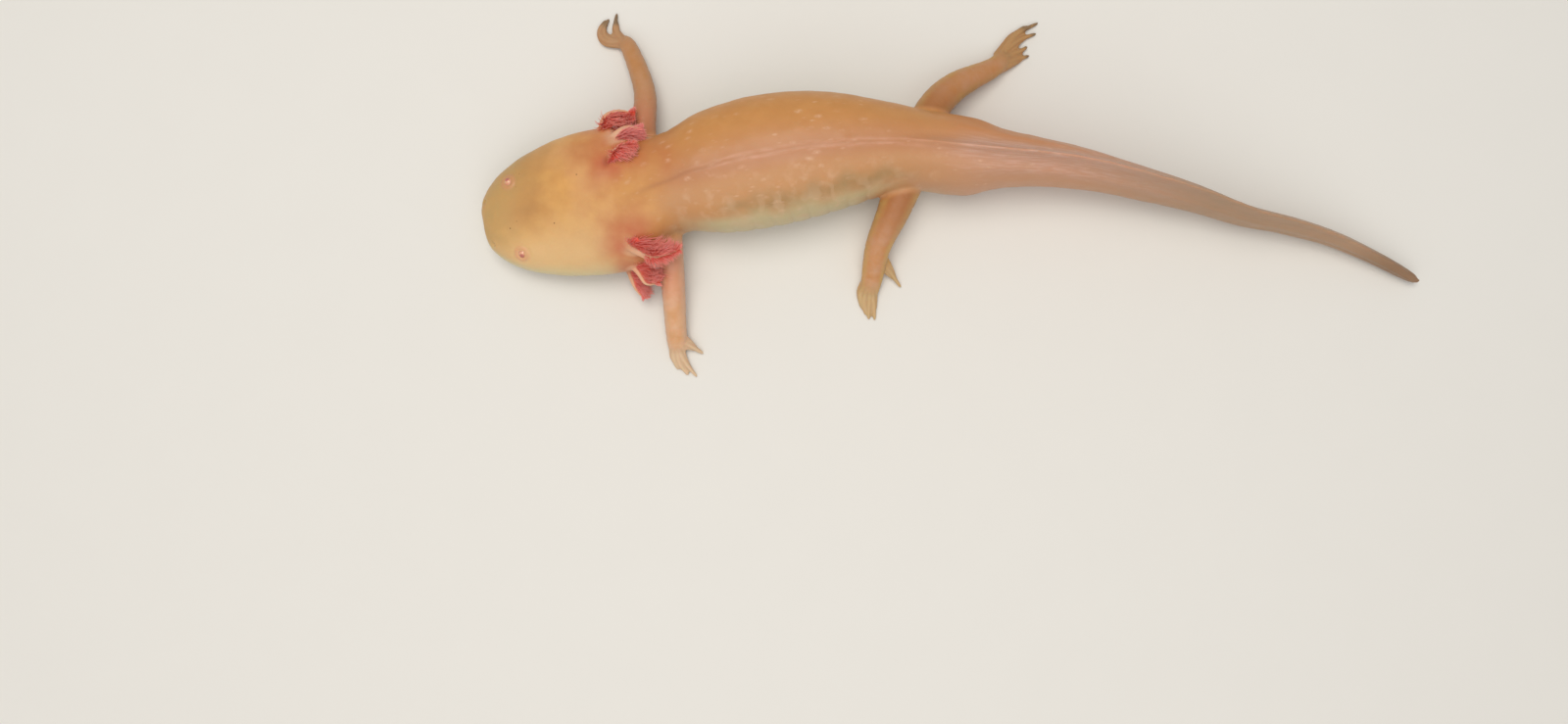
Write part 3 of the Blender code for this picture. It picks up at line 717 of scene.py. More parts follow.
def keepShares(form, at):
    # where each colour of the skin lies, as shares from 0 to 1
    s, turn, across, p, flesh = at["s"], at["turn"], at["across"], at["p"], at["body"]
    leftward = -at["sideways"]
    fin = ease(0.96, 1.12, at["section"]) * at["finLike"] * ease(96.0, 104.0, s)
    middle = -0.6 - 0.5 * ease(96.0, 120.0, s)
    veil = ease(93.0, 106.0, s) * hump(across, middle, 2.3) * ease(10.0, 50.0, turn)
    # a lattice laid slantwise round the body, for the pale blotches of the flank
    girth = np.stack([s / 1.9 + turn / 50.0 + 0.6 * softNoise(p, 1.7, 27),
                      turn / 26.0 - s / 5.0 + 0.6 * softNoise(p, 2.3, 28), p[:, 2] / 6.0], axis=1)
    hindRoot = np.linalg.norm(p - legs["leftHind"]["route"][1], axis=1)
    fromRoots = fromNearest(p, [leg["route"][1] for leg in legs.values()])
    overRoots = ease(9.0, 4.0, fromRoots) * ease(3.0, 6.0, p[:, 2])
    upper = ease(30.0, 60.0, turn)
    # the dip along the neck's ridge, which takes painted crease shade
    neckLine = 0.8 * hump(at["crest"], 0.0, 0.6) * ease(32.0, 38.0, s) * ease(56.0, 44.0, s) * upper
    shares = {
        "trunk": ease(26.0, 42.0, s + 3.0 * softNoise(p, 7.0, 11)),
        "tailSkin": ease(90.0, 112.0, s + 5.0 * leftward + 3.0 * softNoise(p, 8.0, 12)),
        "farTail": ease(120.0, 160.0, s + 3.0 * softNoise(p, 9.0, 13)),
        "tailTip": ease(186.0, 200.0, s),
        "tailOrange": ease(0.15, 0.55, 0.1 * softNoise(p, 4.0, 22) - leftward) * ease(92.0, 104.0, s)
        * ease(138.0, 108.0, s),
        "fin": np.maximum(fin, 0.9 * veil),
        "leftHead": ease(-0.2, 0.9, leftward) * ease(38.0, 26.0, s) * flesh,
        "rim": ease(42.0, 8.0, turn) * ease(0.2, 0.8, leftward + 0.9 * ease(14.0, 5.0, s))
        * ease(34.0, 24.0, s) * flesh,
        "snout": ease(15.0, 2.0, s + 6.0 * leftward + 2.0 * softNoise(p, 5.0, 16)),
        # darker over the front of the head, on the head's own tan, which leaves a brighter band behind it as
        # a painted reflection of light
        "headShade": hump(s + 2.0 * softNoise(p, 5.0, 23), 11.0, 7.0) * ease(0.6, -0.1, leftward) * flesh,
        "nape": hump(s + 3.0 * softNoise(p, 5.0, 26), 32.0, 7.5) * ease(-0.5, 0.0, leftward) * flesh,
        "midBack": hump(at["crest"], -0.6, 5.0) * ease(34.0, 46.0, s) * upper,
        "leftBack": ease(0.12, 0.4, leftward) * ease(33.0, 42.0, s) * flesh,
        "leftFlank": ease(47.0, 24.0, turn + 7.0 * softNoise(p, 3.4, 17)) * ease(0.0, 0.3, leftward)
        * ease(38.0, 50.0, s) * ease(93.0, 79.0, s) * flesh * ease(4.0, 10.0, hindRoot),
        # a darker band along the upper left flank over the costal grooves: painted shade of the grooves,
        # tinted to the flank's own olive
        "flankDusk": hump(turn + 6.0 * softNoise(p, 3.0, 21), 46.0, 10.0) * ease(0.0, 0.3, leftward)
        * ease(46.0, 56.0, s) * ease(96.0, 84.0, s) * flesh,
        "blotch": ease(0.05, 0.6, softNoise(girth, 1.0, 18) + 0.3 * at["swell"])
        * ease(58.0, 46.0, turn) * ease(4.0, 22.0, turn) * ease(0.1, 0.3, leftward)
        * ease(44.0, 54.0, s) * ease(92.0, 78.0, s) * flesh,
        "belly": ease(16.0, -34.0, turn + 9.0 * softNoise(p, 6.0, 14)) * flesh * ease(112.0, 98.0, s)
        * (1.0 - overRoots),
        "crestLine": at["onBack"] * hump(np.abs(at["crest"]), 0.5, 0.4) * ease(42.0, 56.0, s),
        # painted shade in the creases: the dip along the ridge of the neck and back, the costal grooves, the
        # mouth and the gaps between the toes
        "furrow": at["onBack"] * 0.3 * hump(at["crest"], 0.0, 0.3) + neckLine + 0.25 * at["groove"]
        + at["mouth"] + 0.6 * at["limb"] * at["toes"] * at["gaps"],
        "vent": at["vent"] * ease(40.0, 5.0, turn),
        "limbEdge": at["limb"] * at["edge"] * (1.0 - 0.5 * at["toes"]),
        "limbRoot": at["limb"] * ease(0.6, 0.15, at["along"]),
        "toes": at["limb"] * at["toes"],
        "darkTips": at["limb"] * at["tips"],
        "limbDusk": at["limb"] * at["dusky"] * (1.0 - 0.5 * at["hind"] * (1.0 - at["toes"])),
    }
    shares.update({name: at[name] for name in ("limb", "hind", "stalk", "lids", "slit")})
    roots = [gillRoute(gill)(step) for gill in gills.values() for step in (0.4, 1.1, 1.8)] + marks["blush"]
    shares["blush"] = hump(fromNearest(p, roots), 0.4, 3.3) * (0.8 + 0.3 * softNoise(p, 2.2, 15))
    near = fromNearest(p[:, :2], marks["dusk"]) + 1.6 * softNoise(p, 2.6, 19)
    shares["dusk"] = hump(np.maximum(near, 0.0), 0.0, 4.2) * ease(-10.0, 15.0, turn) * flesh
    near = fromNearest(p, marks["armBlush"])
    shares["armBlush"] = hump(near, 1.0, 3.6) * (0.8 + 0.3 * softNoise(p, 1.8, 20))
    for name, values in shares.items():
        keepValue(form.mesh, name, np.clip(values, 0.0, 1.0))
    keepPlace(form.mesh, "lay", np.stack([s, across, p[:, 2]], axis=1))


# small dark specks on the head: place in X and Y, radius, depth of colour
specks = [(-93.9, -8.6, 0.2, 0.9), (-92.4, -7.3, 0.2, 0.4), (-84.1, -7.9, 0.23, 0.95),
          (-79.2, 2.3, 0.22, 0.8), (-92.0, 3.0, 0.2, 0.35), (-92.6, 0.3, 0.18, 0.35)]


def shapeSkin():
    print("skin: lofts and remesh")
    form = Sculpt(wholeSkin())
    print("skin:", len(form.points), "points")
    form.smooth(1.0, skin["finePasses"])
    smoothJoins(form)
    print("skin: folds and grooves")
    at = placesOf(form.points.copy())
    move = trunkFolds(at) + faceFolds(at) + limbFolds(at)
    uneven = 0.10 * softNoise(at["p"], 5.0, 1) + 0.05 * softNoise(at["p"], 2.2, 2)
    move += uneven * (1.0 - 0.6 * at["limb"]) * (1.0 - at["stalk"])
    move *= 1.0 - 0.75 * at["finLike"] * ease(0.98, 1.12, at["section"])
    form.points = at["p"] + form.normals() * move[:, None]
    form.smooth(0.6, 1)
    form.points[:, 2] = np.maximum(form.points[:, 2], skin["floor"])
    form.store()
    print("skin: colour shares")
    keepShares(form, at)
    form.mesh.shade_smooth()
    # where the specks lie on the skin
    spots = []
    for x, y, size, depth in specks:
        near = np.flatnonzero(np.hypot(form.points[:, 0] - x, form.points[:, 1] - y) < 0.3)
        spots.append((form.points[near[np.argmax(form.points[near, 2])]], size, depth))
    return form.mesh, spots


class Value:
    # a socket whose sums add nodes
    def __init__(self, paint, socket):
        self.paint = paint
        self.socket = socket

    def sum(self, operation, first, second):
        return self.paint.node("ShaderNodeMath", {"operation": operation}, {0: first, 1: second})

    def __add__(self, other):
        return self.sum("ADD", self, other)

    def __radd__(self, other):
        return self.sum("ADD", other, self)

    def __sub__(self, other):
        return self.sum("SUBTRACT", self, other)

    def __rsub__(self, other):
        return self.sum("SUBTRACT", other, self)

    def __mul__(self, other):
        return self.sum("MULTIPLY", self, other)

    def __rmul__(self, other):
        return self.sum("MULTIPLY", other, self)


class Paint:
    # one material and its nodes
    def __init__(self, name, **fixed):
        self.material = bpy.data.materials.new(name)
        self.material.use_nodes = True
        self.tree = self.material.node_tree
        self.shader = self.tree.nodes["Principled BSDF"]
        for socket, value in fixed.items():
            self.shader.inputs[socket.replace("_", " ")].default_value = value

    def node(self, kind, settings=None, sockets=None, out=0):
        made = self.tree.nodes.new(kind)
        for key, value in (settings or {}).items():
            if key == "stops":
                ramp = made.color_ramp.elements
                while len(ramp) < len(value):
                    ramp.new(0.5)
                for stop, (spot, level) in zip(ramp, value):
                    stop.position = spot
                    stop.color = (level, level, level, 1.0)
            else:
                setattr(made, key, value)
        for key, value in (sockets or {}).items():
            self.feed(made.inputs[key], value)
        return Value(self, made.outputs[out])

    def feed(self, socket, value):
        if isinstance(value, Value):
            self.tree.links.new(value.socket, socket)
        else:
            socket.default_value = value

    def finish(self, **sockets):
        for name, value in sockets.items():
            self.feed(self.shader.inputs[name.replace("_", " ")], value)
        return self.material

    def share(self, name):
        return self.node("ShaderNodeAttribute", {"attribute_name": name}, out=2)

    def spot(self):
        return self.node("ShaderNodeTexCoord", out=3)

    def noise(self, size, detail):
        return self.node("ShaderNodeTexNoise", None,
                         {"Vector": self.spot(), "Scale": 1.0 / (size * mm), "Detail": detail})

    def laid(self, length, width):
        # the body's own coordinates in cells of this length along it and width across it
        lay = self.node("ShaderNodeAttribute", {"attribute_name": "lay"}, out=1)
        return self.node("ShaderNodeVectorMath", {"operation": "MULTIPLY"},
                         {0: lay, 1: (1.0 / length, 1.0 / width, 1.0 / width)})

    def streaks(self, length, width):
        return self.node("ShaderNodeTexNoise", None,
                         {"Vector": self.laid(length, width), "Scale": 1.0, "Detail": 2.0})

    def flecks(self, length, width, size):
        # small spots scattered one to a cell
        warp = self.node("ShaderNodeTexNoise", None,
                         {"Vector": self.laid(0.5 * length, 0.5 * width), "Scale": 1.0, "Detail": 3.0}, out=1)
        warped = self.node("ShaderNodeVectorMath", {"operation": "MULTIPLY_ADD"},
                           {0: warp, 1: (0.4, 0.4, 0.4), 2: self.laid(length, width)})
        cells = self.node("ShaderNodeTexVoronoi", None, {"Vector": warped, "Scale": 1.0})
        return self.ramp(cells, [(0.2 * size, 1.0), (size, 0.0)])

    def ramp(self, value, stops):
        return self.node("ShaderNodeValToRGB", {"stops": stops}, {"Fac": value})

    def blend(self, amount, low, high):
        return self.node("ShaderNodeMix", {"data_type": "RGBA", "clamp_factor": True},
                         {0: amount, 6: low, 7: high}, out=2)

    def bump(self, height, distance, strength):
        return self.node("ShaderNodeBump", None,
                         {"Height": height, "Distance": distance * mm, "Strength": strength})


def shade(red, green, blue):
    # a colour read as on a screen, 0 to 255, for a shader's socket
    def linear(v):
        v = v / 255.0
        return v / 12.92 if v < 0.04045 else ((v + 0.055) / 1.055) ** 2.4
    return (linear(red), linear(green), linear(blue), 1.0)


tones = {name: shade(*levels) for name, levels in {
    "gold": (222, 168, 98),
    "goldDeep": (208, 150, 84),
    "goldPink": (216, 164, 114),
    "leftHead": (222, 186, 134),
    "rim": (216, 200, 152),
    "snout": (190, 154, 98),
    "headShade": (182, 132, 78),
    "nape": (190, 128, 86),
    "orange": (202, 143, 82),
    "orangeDeep": (192, 132, 72),
    "midBack": (185, 129, 94),
    "leftBack": (197, 147, 103),
    "leftFlank": (196, 184, 142),
    # painted shade of the left flank's grooves
    "flankDusk": (160, 131, 88),
    "blotch": (216, 182, 148),
    "belly": (206, 194, 158),
    "tailSkin": (196, 144, 110),
    "veil": (196, 152, 132),
    "veilStreak": (212, 170, 150),
    "farTail": (166, 136, 108),
    "tailTip": (124, 96, 72),
    "tailOrange": (198, 132, 80),
    "crestLine": (220, 168, 144),
    # painted shade in the creases
    "furrow": (160, 104, 72),
    "vent": (190, 158, 138),
    "arm": (216, 166, 126),
    "armRoot": (212, 150, 120),
    "leg": (188, 130, 88),
    "legRoot": (162, 104, 62),
    "limbPale": (222, 186, 158),
    "limbDusk": (156, 102, 48),
    "armEdge": (214, 178, 150),
    "legEdge": (200, 164, 98),
    "fingers": (214, 188, 154),
    "toes": (196, 168, 122),
    "darkTips": (112, 98, 76),
    "stalk": (220, 174, 140),
    "blush": (186, 78, 58),
    "dusk": (190, 116, 70),
    "armBlush": (214, 116, 104),
    # dark red painted shade inside the slits
    "slit": (130, 48, 34),
    "fleck": (228, 190, 160),
    "speck": (84, 40, 22),
    "lids": (212, 138, 112),
    "gill": (238, 124, 78),
    "gillDeep": (242, 100, 78),
    "gillPatch": (230, 78, 78),
    "gillTip": (252, 178, 160),
    "gillPale": (250, 160, 156),
    "eyeball": (208, 140, 108),
    "iris": (220, 158, 122),
    "irisFibre": (226, 178, 134),
    "pupil": (194, 118, 98),
    "pupilDeep": (166, 84, 70),
}.items()}


skinLook = {
    # size and detail of the mottling, from the widest to the finest
    "broad": (9.0, 2.0),
    "patch": (3.2, 3.0),
    "smear": (2.6, 3.0),
    "pores": (1.4, 3.0),
    "fine": (0.5, 4.0),
    "grain": (0.16, 2.0),
    "scatter": 1.3,  # how deep light goes in
    "streak": (7.0, 0.42),  # length and width of the streaks of the tail, and of the ridge's breaks
    "break": (3.4, 0.7),
    # length and width of the cells that hold the flecks, and the flecks' share of a cell
    "smallFlecks": (2.6, 1.1, 0.26),
    "largeFlecks": (3.6, 2.0, 0.3),
}


def skinPaint(spots):
    paint = Paint("axolotlSkin", Subsurface_Weight=0.2, Subsurface_Radius=(1.0, 0.42, 0.24),
                  Subsurface_Scale=skinLook["scatter"] * mm, Specular_IOR_Level=0.35,
                  Coat_Roughness=0.22, IOR=1.38)
    broad, patch, fine, grain = [paint.noise(*skinLook[name]) for name in ("broad", "patch", "fine", "grain")]
    mottle = paint.ramp(patch, [(0.36, 0.0), (0.68, 1.0)])
    pinkish = paint.ramp(broad, [(0.42, 0.0), (0.66, 1.0)])
    hind = paint.share("hind")

    def cover(under, *layers):
        # each layer is a tone, with how strongly it covers its own share of the skin
        for name, amount in layers:
            under = paint.blend(paint.share(name) * amount, under, tones[name])
        return under

    def armOrLeg(arm, leg):
        return paint.blend(hind, tones[arm], tones[leg])

    # head
    colour = paint.blend(mottle * 0.6, tones["gold"], tones["goldDeep"])
    colour = paint.blend(pinkish * 0.55, colour, tones["goldPink"])
    colour = cover(colour,
                   ("leftHead", 0.85),
                   # the front of the head darker, so that the band behind it stays bright as a painted
                   # reflection
                   ("headShade", 0.7 + 0.25 * mottle),
                   ("nape", 0.35 + 0.3 * mottle),
                   ("snout", 0.75 + 0.3 * mottle),
                   ("rim", 0.9))
    # trunk
    trunk = paint.blend(mottle * 0.55, tones["orange"], tones["orangeDeep"])
    trunk = cover(trunk, ("midBack", 0.85), ("leftBack", 0.65 + 0.3 * mottle))
    smear = paint.ramp(paint.noise(*skinLook["smear"]), [(0.5, 0.0), (0.78, 1.0)])
    smear = smear * paint.ramp(broad, [(0.42, 0.0), (0.6, 1.0)])
    trunk = paint.blend(paint.share("leftBack") * smear * 0.5, trunk, tones["fleck"])
    trunk = cover(trunk,
                  # painted shade over the grooves of the left flank, then the flank's own pale tones
                  ("flankDusk", 0.5 + 0.3 * mottle),
                  ("leftFlank", 0.9),
                  ("blotch", 0.05 + 0.45 * patch))
    colour = paint.blend(paint.share("trunk"), colour, trunk)
    # belly and tail
    colour = cover(colour, ("belly", 0.95), ("tailSkin", 0.85))
    streak = paint.ramp(paint.streaks(*skinLook["streak"]), [(0.42, 0.0), (0.64, 1.0)])
    veil = paint.blend(streak * 0.6, tones["veil"], tones["veilStreak"])
    colour = paint.blend(paint.share("fin") * (0.6 + 0.4 * streak), colour, veil)
    colour = cover(colour,
                   ("farTail", 0.8 + 0.2 * streak),
                   ("tailTip", 0.7),
                   ("tailOrange", 0.8),
                   ("vent", 0.8))
    # limbs, with tones of their own on the arms and on the hind legs
    limbSkin = armOrLeg("arm", "leg")
    limbSkin = paint.blend(mottle * 0.5, limbSkin, tones["orange"])
    limbSkin = paint.blend((1.0 - mottle) * 0.3, limbSkin, tones["limbPale"])
    limbSkin = paint.blend(paint.share("limbRoot") * 0.9, limbSkin, armOrLeg("armRoot", "legRoot"))
    limbSkin = paint.blend(paint.share("limbEdge") * (0.35 + 0.55 * mottle), limbSkin,
                           armOrLeg("armEdge", "legEdge"))
    limbSkin = paint.blend(paint.share("toes") * (0.75 + 0.3 * patch), limbSkin, armOrLeg("fingers", "toes"))
    limbSkin = cover(limbSkin,
                     ("limbDusk", 0.55 + 0.1 * paint.share("toes") * (1.0 - hind)),
                     ("darkTips", 0.55 + 0.5 * patch))
    colour = paint.blend(paint.share("limb"), colour, limbSkin)
    # gill roots, eye rims and lines, with painted shade in the slits and the creases
    colour = cover(colour,
                   ("dusk", 0.35 + 0.6 * patch),
                   ("armBlush", 0.2),
                   ("blush", 0.55 + 0.5 * patch),
                   ("stalk", 0.75 + 0.3 * mottle),
                   # painted shade inside the slits in front of the upper gills
                   ("slit", 0.8),
                   ("lids", 0.4),
                   ("crestLine", 1.1 * paint.streaks(*skinLook["break"]) - 0.3),
                   ("furrow", 0.4))
    # pale flecks on the trunk and the front of the tail, and a few dark specks on the head
    onTrunk = paint.share("trunk") * (1.0 - paint.share("limb")) * (1.0 - paint.share("farTail"))
    thickets = paint.ramp(paint.noise(5.5, 2.0), [(0.54, 0.0), (0.66, 1.0)])
    small = paint.flecks(*skinLook["smallFlecks"]) * thickets
    thickets = paint.ramp(paint.noise(8.0, 1.0), [(0.5, 0.0), (0.62, 1.0)])
    large = paint.flecks(*skinLook["largeFlecks"]) * thickets
    broken = paint.ramp(fine, [(0.35, 0.15), (0.65, 0.5)])
    colour = paint.blend(small * onTrunk * 0.36, colour, tones["fleck"])
    colour = paint.blend(large * onTrunk * broken, colour, tones["fleck"])
    for spot, size, depth in spots:
        far = paint.node("ShaderNodeVectorMath", {"operation": "DISTANCE"},
                         {0: paint.spot(), 1: spot * mm}, out=1)
        dot = paint.ramp((far + 0.1 * mm * fine) * (0.5 / (size * mm)), [(0.3, 1.0), (0.55, 0.0)])
        colour = paint.blend(dot * depth, colour, tones["speck"])
    colour = paint.blend(fine * 0.16, colour, tones["orangeDeep"])
    height = fine * 0.4 + grain * 0.16 + paint.noise(*skinLook["pores"]) * 0.9
    return paint.finish(Base_Color=colour, Roughness=0.36 + 0.2 * patch, Coat_Weight=0.06 + 0.16 * broad,
                        Normal=paint.bump(height, 0.12, 0.45))


def gillPaint():
    paint = Paint("gillFringe", Subsurface_Weight=0.12, Subsurface_Radius=(1.0, 0.35, 0.3),
                  Subsurface_Scale=0.4 * mm, Specular_IOR_Level=0.25, Coat_Roughness=0.3)
    along = paint.share("along")
    patch = paint.ramp(paint.noise(1.8, 2.0), [(0.4, 0.0), (0.68, 1.0)])
    colour = paint.blend(paint.ramp(along, [(0.0, 0.0), (0.3, 1.0)]), tones["gill"], tones["gillDeep"])
    colour = paint.blend(patch * 0.45, colour, tones["gillPatch"])
    colour = paint.blend(paint.ramp(along, [(0.4, 0.0), (1.0, 1.0)]) * 0.8, colour, tones["gillTip"])
    colour = paint.blend(paint.share("pale") * 0.8, colour, tones["gillPale"])
    return paint.finish(Base_Color=colour, Roughness=0.42 + 0.15 * patch, Coat_Weight=0.08,
                        Normal=paint.bump(paint.noise(0.22, 2.0), 0.03, 0.3))


def eyePaint():
    paint = Paint("eyeSurface", Subsurface_Weight=0.1, Subsurface_Scale=0.5 * mm, Coat_Weight=0.3,
                  Coat_Roughness=0.16)
    gaze = paint.share("gaze")  # 1 at the pupil's middle
    fibres = paint.noise(0.14, 3.0)
    colour = paint.blend(paint.ramp(gaze, [(0.56, 0.0), (0.66, 1.0)]), tones["eyeball"], tones["iris"])
    iris = paint.ramp(gaze, [(0.62, 0.0), (0.72, 1.0)])
    colour = paint.blend(fibres * 0.5 * iris, colour, tones["irisFibre"])
    colour = paint.blend(paint.ramp(gaze, [(0.87, 0.0), (0.91, 1.0)]), colour, tones["pupil"])
    colour = paint.blend(paint.ramp(gaze, [(0.94, 0.0), (0.99, 1.0)]) * 0.5, colour, tones["pupilDeep"])
    return paint.finish(Base_Color=colour, Roughness=0.16 + 0.1 * fibres,
                        Normal=paint.bump(fibres, 0.02, 0.3))


def addPiece(name, mesh, material, nodes):
    piece = bpy.data.objects.new(name, mesh)
    bpy.context.scene.collection.objects.link(piece)
    mesh.materials.clear()
    mesh.materials.append(material)
    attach(piece, "root")
    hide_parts(*nodes)


fringe = {
    "rows": (-58.0, -43.0, -30.0, -18.0, -6.0, 6.0, 18.0, 30.0, 43.0, 56.0),  # degrees round the stalk
    "backRows": (110.0, 140.0, 170.0, 200.0, 230.0),  # only towards the stalk's tip
    "backShare": 0.6,  # how many filaments such a row has, as a share of a full one
    "spacing": 0.14,
    "radius": 0.072,
    "curl": 0.5,
    "wave": 0.1,
    "stray": 11.0,  # degrees by which a filament may leave its row
    "lengths": (0.55, 1.16),  # least and most that chance gives a filament of its reach
    "thickness": (0.8, 1.2),  # and of its radius
    "locks": 9,  # turning points of the slow waves that comb the filaments into soft locks
    "blade": 0.42,  # how far the red web reaches between the filaments
    "floorGap": 0.3,  # lowest level of a filament's middle line and of the web
    "rings": 10,
    "sides": 4,
    "bladeRings": 50,
    "bladeSides": 18,
    "seed": 5,
}


def filament(root, heading, droop, across, reach, thick, phase):
    step = np.linspace(0.0, 1.0, fringe["rings"])
    path = root + heading * (reach * step)[:, None] + droop * (fringe["curl"] * reach * step ** 2)[:, None]
    path = path + across * (fringe["wave"] * reach * np.sin(4.0 * step + phase) * step)[:, None]
    path[:, 2] = np.maximum(path[:, 2], fringe["floorGap"])
    ahead = unit(np.gradient(path, axis=0))
    side = unit(np.cross(ahead, across + 0.01))
    up = np.cross(side, ahead)
    size = thick * np.sqrt(np.maximum(1.0 - step ** 6.0, 0.08)) * (1.0 - 0.5 * step)
    turn = turnOf(fringe["sides"])
    return loft(path[:, None, :] + size[:, None, None] * (
        side[:, None, :] * np.cos(turn)[None, :, None] + up[:, None, :] * np.sin(turn)[None, :, None]))


def swellOf(share):
    # how long the filaments are along the stalk, longest at the middle
    return np.sin(math.pi * np.minimum(1.0, 0.2 + 0.75 * share)) ** 0.6


def bladeLoft(gill, out):
    # the thin red web that carries the filaments
    last = len(gill["route"]) - 1
    route = gillRoute(gill)
    share = np.linspace(gill["start"] + 0.04, 0.99, fringe["bladeRings"])
    ahead = aheadOn(route, share * last)
    forth = unit(out - ahead * (ahead @ out)[:, None])
    across = np.cross(ahead, forth)
    depth = gill["reach"] * fringe["blade"] * swellOf(share) * ease(0.0, 0.2, share - gill["start"]) * (
        1.0 + 0.08 * np.sin(share * 61.0))
    turn = turnOf(fringe["bladeSides"])
    outward = 0.5 - 0.5 * np.cos(turn)
    reach = depth[:, None] * outward[None, :]
    thick = (0.34 - 0.2 * outward) * np.sin(turn)
    rings = route(share * last)[:, None, :] + forth[:, None, :] * reach[..., None] \
        + across[:, None, :] * thick[None, :, None] + ahead[:, None, :] * (0.3 * reach)[..., None]
    rings[..., 2] = np.maximum(rings[..., 2], fringe["floorGap"])
    return loft(rings), np.tile(0.4 * outward, len(share))


def fringeMesh(name, gill, seed):
    rng = np.random.default_rng(seed)
    route = gillRoute(gill)
    last = len(gill["route"]) - 1
    length = np.linalg.norm(np.diff(route(np.linspace(0, last, 60)), axis=0), axis=1).sum()
    count = int(length * (1.0 - gill["start"]) / fringe["spacing"])
    out = unit(np.array(gill["fringe"]))
    blade, bladeShare = bladeLoft(gill, out)
    parts, shares, pale = [blade], [bladeShare], [np.zeros(len(bladeShare))]
    # the map for baking: one small patch for each filament, in a row of its own round the stalk
    spots = []
    roundShare = np.tile(np.linspace(0.0, 1.0, fringe["sides"]), fringe["rings"])
    turning = np.linspace(0.0, 1.0, fringe["locks"])
    lock = curveThrough(turning, rng.uniform(-1.0, 1.0, (fringe["locks"], 4)), level=False)
    rows = fringe["rows"] + fringe["backRows"]
    for level, row in enumerate(rows):
        back = row in fringe["backRows"]
        for n in range(int(count * fringe["backShare"]) if back else count):
            share = gill["start"] + (1.0 - gill["start"]) * (n + 0.5 + rng.uniform(-0.4, 0.4)) / count
            if back:
                share = gill["both"] + (1.0 - gill["both"]) * (n + rng.uniform(0.1, 0.9)) / (
                    fringe["backShare"] * count)
            share = min(share, 0.995)
            step = share * last
            sway = lock(np.array(min(1.0, share + 0.0003 * row)))
            ahead = aheadOn(route, step)
            forth = unit(out - ahead * out.dot(ahead))
            across = np.cross(ahead, forth)
            angle = math.radians(row + 8.0 * sway[0] + rng.uniform(-fringe["stray"], fringe["stray"]))
            lean = gill["lean"] * (0.4 + share) + 0.2 * sway[1] + rng.uniform(-0.22, 0.24)
            heading = unit(forth * math.cos(angle) + across * math.sin(angle) + ahead * lean)
            reach = gill["reach"] * swellOf(share) * (0.84 + 0.12 * sway[2]) * rng.uniform(*fringe["lengths"])
            reach *= 1.0 - 0.2 * min(abs(row), 90.0) / 60.0
            reach *= 0.25 + 0.75 * ease(0.0, 0.3, share - gill["start"])
            if back:
                reach *= 0.7 * ease(0.0, 0.2, share - gill["both"] + 0.05)
            radius = stalkRadius(gill, share)
            inward = 0.25 + 0.6 * math.cos(angle) * min(1.0, rng.uniform(0.4, 1.4))
            root = route(step) + forth * radius * inward + across * math.sin(angle) * radius * 0.4
            droop = ahead * (0.25 + 0.3 * sway[3]) - forth * (0.2 + 0.15 * sway[1]) \
                + across * (0.3 * sway[2] + rng.uniform(-0.1, 0.1)) + np.array((0.0, 0.0, -0.25))
            thick = fringe["radius"] * rng.uniform(*fringe["thickness"])
            phase = 6.0 * share + rng.uniform(0.0, 1.0)
            parts.append(filament(root, heading, droop, across, reach, thick, phase))
            shares.append(np.repeat(np.linspace(0.0, 1.0, fringe["rings"]), fringe["sides"]))
            paleness = gill["pink"] + (1.0 - gill["pink"]) * rng.uniform(0.0, 1.0) ** 3
            pale.append(np.full(len(shares[-1]), paleness))
            spots.append(np.stack([(n + 0.15 + 0.7 * roundShare) / count,
                                   (level + 0.1 + 0.8 * shares[-1]) / (len(rows) + 1)], axis=1))
    mesh = newMesh(name, parts)
    top = len(rows) / (len(rows) + 1)
    bladeSpots = np.stack([np.repeat(np.linspace(0.02, 0.98, fringe["bladeRings"]), fringe["bladeSides"]),
                           top + (1.0 - top) * (0.1 + 2.0 * bladeShare)], axis=1)
    corners = np.empty(len(mesh.loops), np.int64)
    mesh.loops.foreach_get("vertex_index", corners)
    patches = mesh.uv_layers.new(name="OFBake")
    patches.uv.foreach_set("vector", np.concatenate([bladeSpots] + spots)[corners].astype(np.float32).ravel())
    for label, values in (("along", shares), ("pale", pale)):
        keepValue(mesh, label, np.concatenate(values))
    mesh.shade_smooth()
    return mesh


def eyeMesh(name, side):
    # a ball with a low dome over the iris, looking out and up
    centre = eyeCentre(side)
    ahead = np.append(spineAhead(np.array(eyes[side][0])), 0.0)
    sideways = np.array((-ahead[1], ahead[0], 0.0)) * math.copysign(1.0, eyes[side][1])
    aside, forward, up = eyes["gaze"]
    gaze = unit(sideways * aside - ahead * forward + np.array((0.0, 0.0, up)))
    first = unit(np.cross(gaze, (0.0, 0.0, 1.0)))
    second = np.cross(gaze, first)
    tilt = np.linspace(0.02, math.pi - 0.02, eyes["rings"])
    turn = turnOf(eyes["sides"])
    reach = eyes["radius"] * (0.97 + eyes["dome"] * ease(*eyes["domeEdge"], np.cos(tilt)))
    outward = first * np.cos(turn)[None, :, None] + second * np.sin(turn)[None, :, None]
    rings = centre + reach[:, None, None] * (
        gaze * np.cos(tilt)[:, None, None] + np.sin(tilt)[:, None, None] * outward)
    mesh = newMesh(name, [loft(rings)])
    keepValue(mesh, "gaze", np.repeat(np.cos(tilt), len(turn)))
    mesh.shade_smooth()
    return mesh


fleshNodes = [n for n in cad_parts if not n.startswith("eye_")]
skinMesh, speckSpots = shapeSkin()
addPiece("skin", skinMesh, skinPaint(speckSpots), fleshNodes)
print("fringes of the gills")
gillMaterial = gillPaint()
for i, (side, gill) in enumerate(gills.items()):
    name = "fringe_" + side
    addPiece(name, fringeMesh(name, gill, fringe["seed"] + i), gillMaterial, ["gill_" + side])
print("eyes")
eyeMaterial = eyePaint()
for side in ("left", "right"):
    name = "eyeball_" + side
    addPiece(name, eyeMesh(name, side), eyeMaterial, ["eye_" + side])


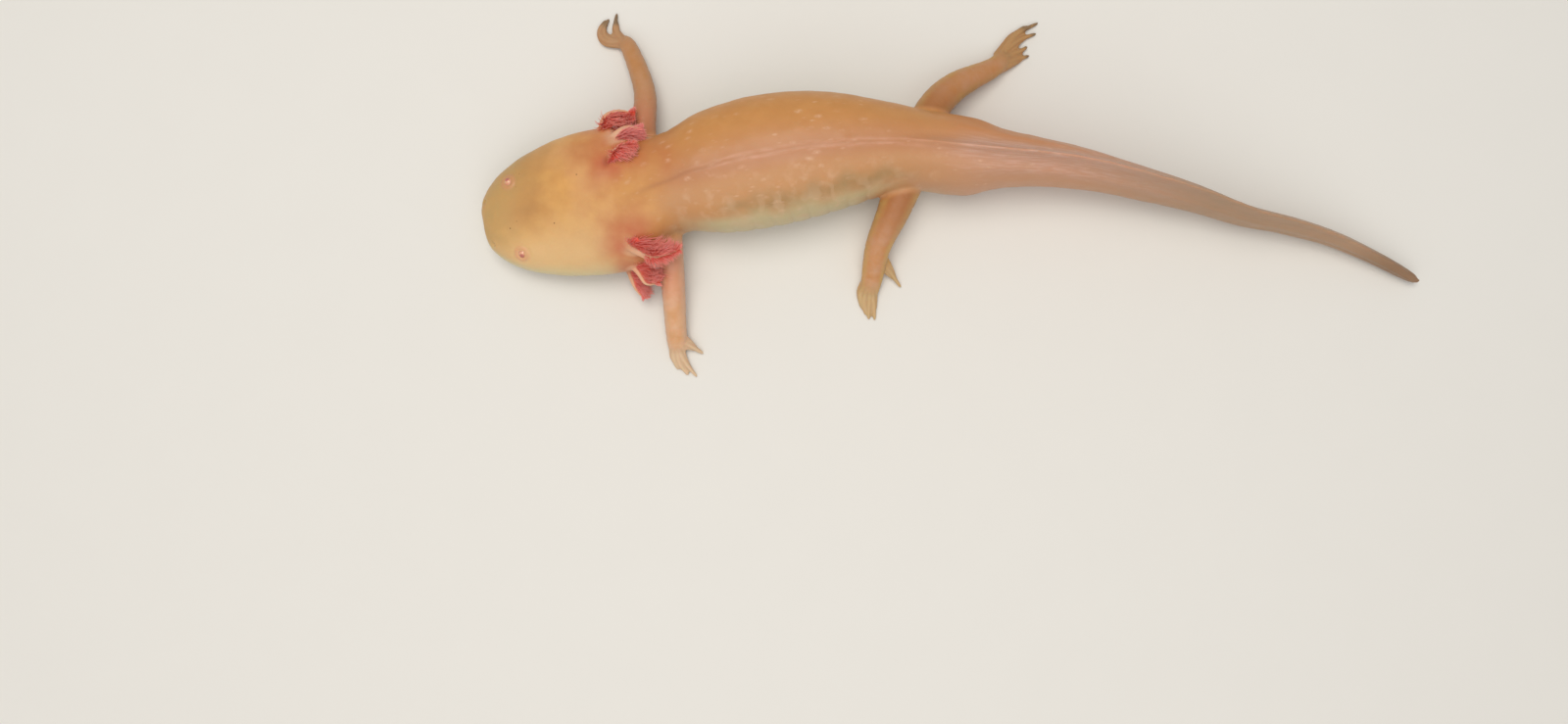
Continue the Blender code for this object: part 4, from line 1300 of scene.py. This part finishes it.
studio = {
    "floor": shade(226, 222, 214),
    "floorFleck": shade(210, 206, 198),
    "floorHalf": 3.0,  # metres, as are the floor's level and the lamps' places and sizes
    "floorLevel": -0.0001,
    "world": (0.92, 0.95, 1.0, 1.0),
    "worldStrength": 0.42,
    # place, size, watts and tint of each soft lamp, aimed at the point of the floor under the animal
    "lamps": [((-0.10, 0.14, 0.68), 0.40, 2.5, (1.0, 0.97, 0.92)),
              ((-0.06, -0.40, 0.56), 0.70, 1.75, (1.0, 0.97, 0.93))],
    "camera": (-36.1, -36.6, 249.0),  # looks straight down
    "lens": 26.0,
}


def makeStudio():
    print("floor, light and camera")
    mesh = bpy.data.meshes.new("floor")
    half = studio["floorHalf"]
    corners = [(x, y, studio["floorLevel"])
               for x, y in ((-half, -half), (half, -half), (half, half), (-half, half))]
    mesh.from_pydata(corners, [], [(0, 1, 2, 3)])
    floor = bpy.data.objects.new("floor", mesh)
    bpy.context.scene.collection.objects.link(floor)
    paint = Paint("floorPaper", Roughness=0.8)
    colour = paint.blend(paint.noise(12.0, 2.0) * 0.1, studio["floor"], studio["floorFleck"])
    mesh.materials.append(paint.finish(Base_Color=colour))
    world = bpy.data.worlds.new("studio")
    world.use_nodes = True
    world.node_tree.nodes["Background"].inputs["Color"].default_value = studio["world"]
    world.node_tree.nodes["Background"].inputs["Strength"].default_value = studio["worldStrength"]
    bpy.context.scene.world = world
    bpy.context.scene.view_settings.view_transform = "Standard"
    for i, (spot, size, watts, tint) in enumerate(studio["lamps"]):
        data = bpy.data.lights.new(f"lamp{i + 1}", "AREA")
        data.size = size
        data.energy = watts
        data.color = tint
        lamp = bpy.data.objects.new(f"lamp{i + 1}", data)
        lamp.location = spot
        lamp.rotation_euler = (Vector(spot) * -1.0).to_track_quat("-Z", "Y").to_euler()
        bpy.context.scene.collection.objects.link(lamp)
    lens = bpy.data.cameras.new("camera")
    lens.lens = studio["lens"]
    lens.clip_start = 0.01
    camera = bpy.data.objects.new("camera", lens)
    camera.location = [v * mm for v in studio["camera"]]
    bpy.context.scene.collection.objects.link(camera)
    bpy.context.scene.camera = camera


makeStudio()
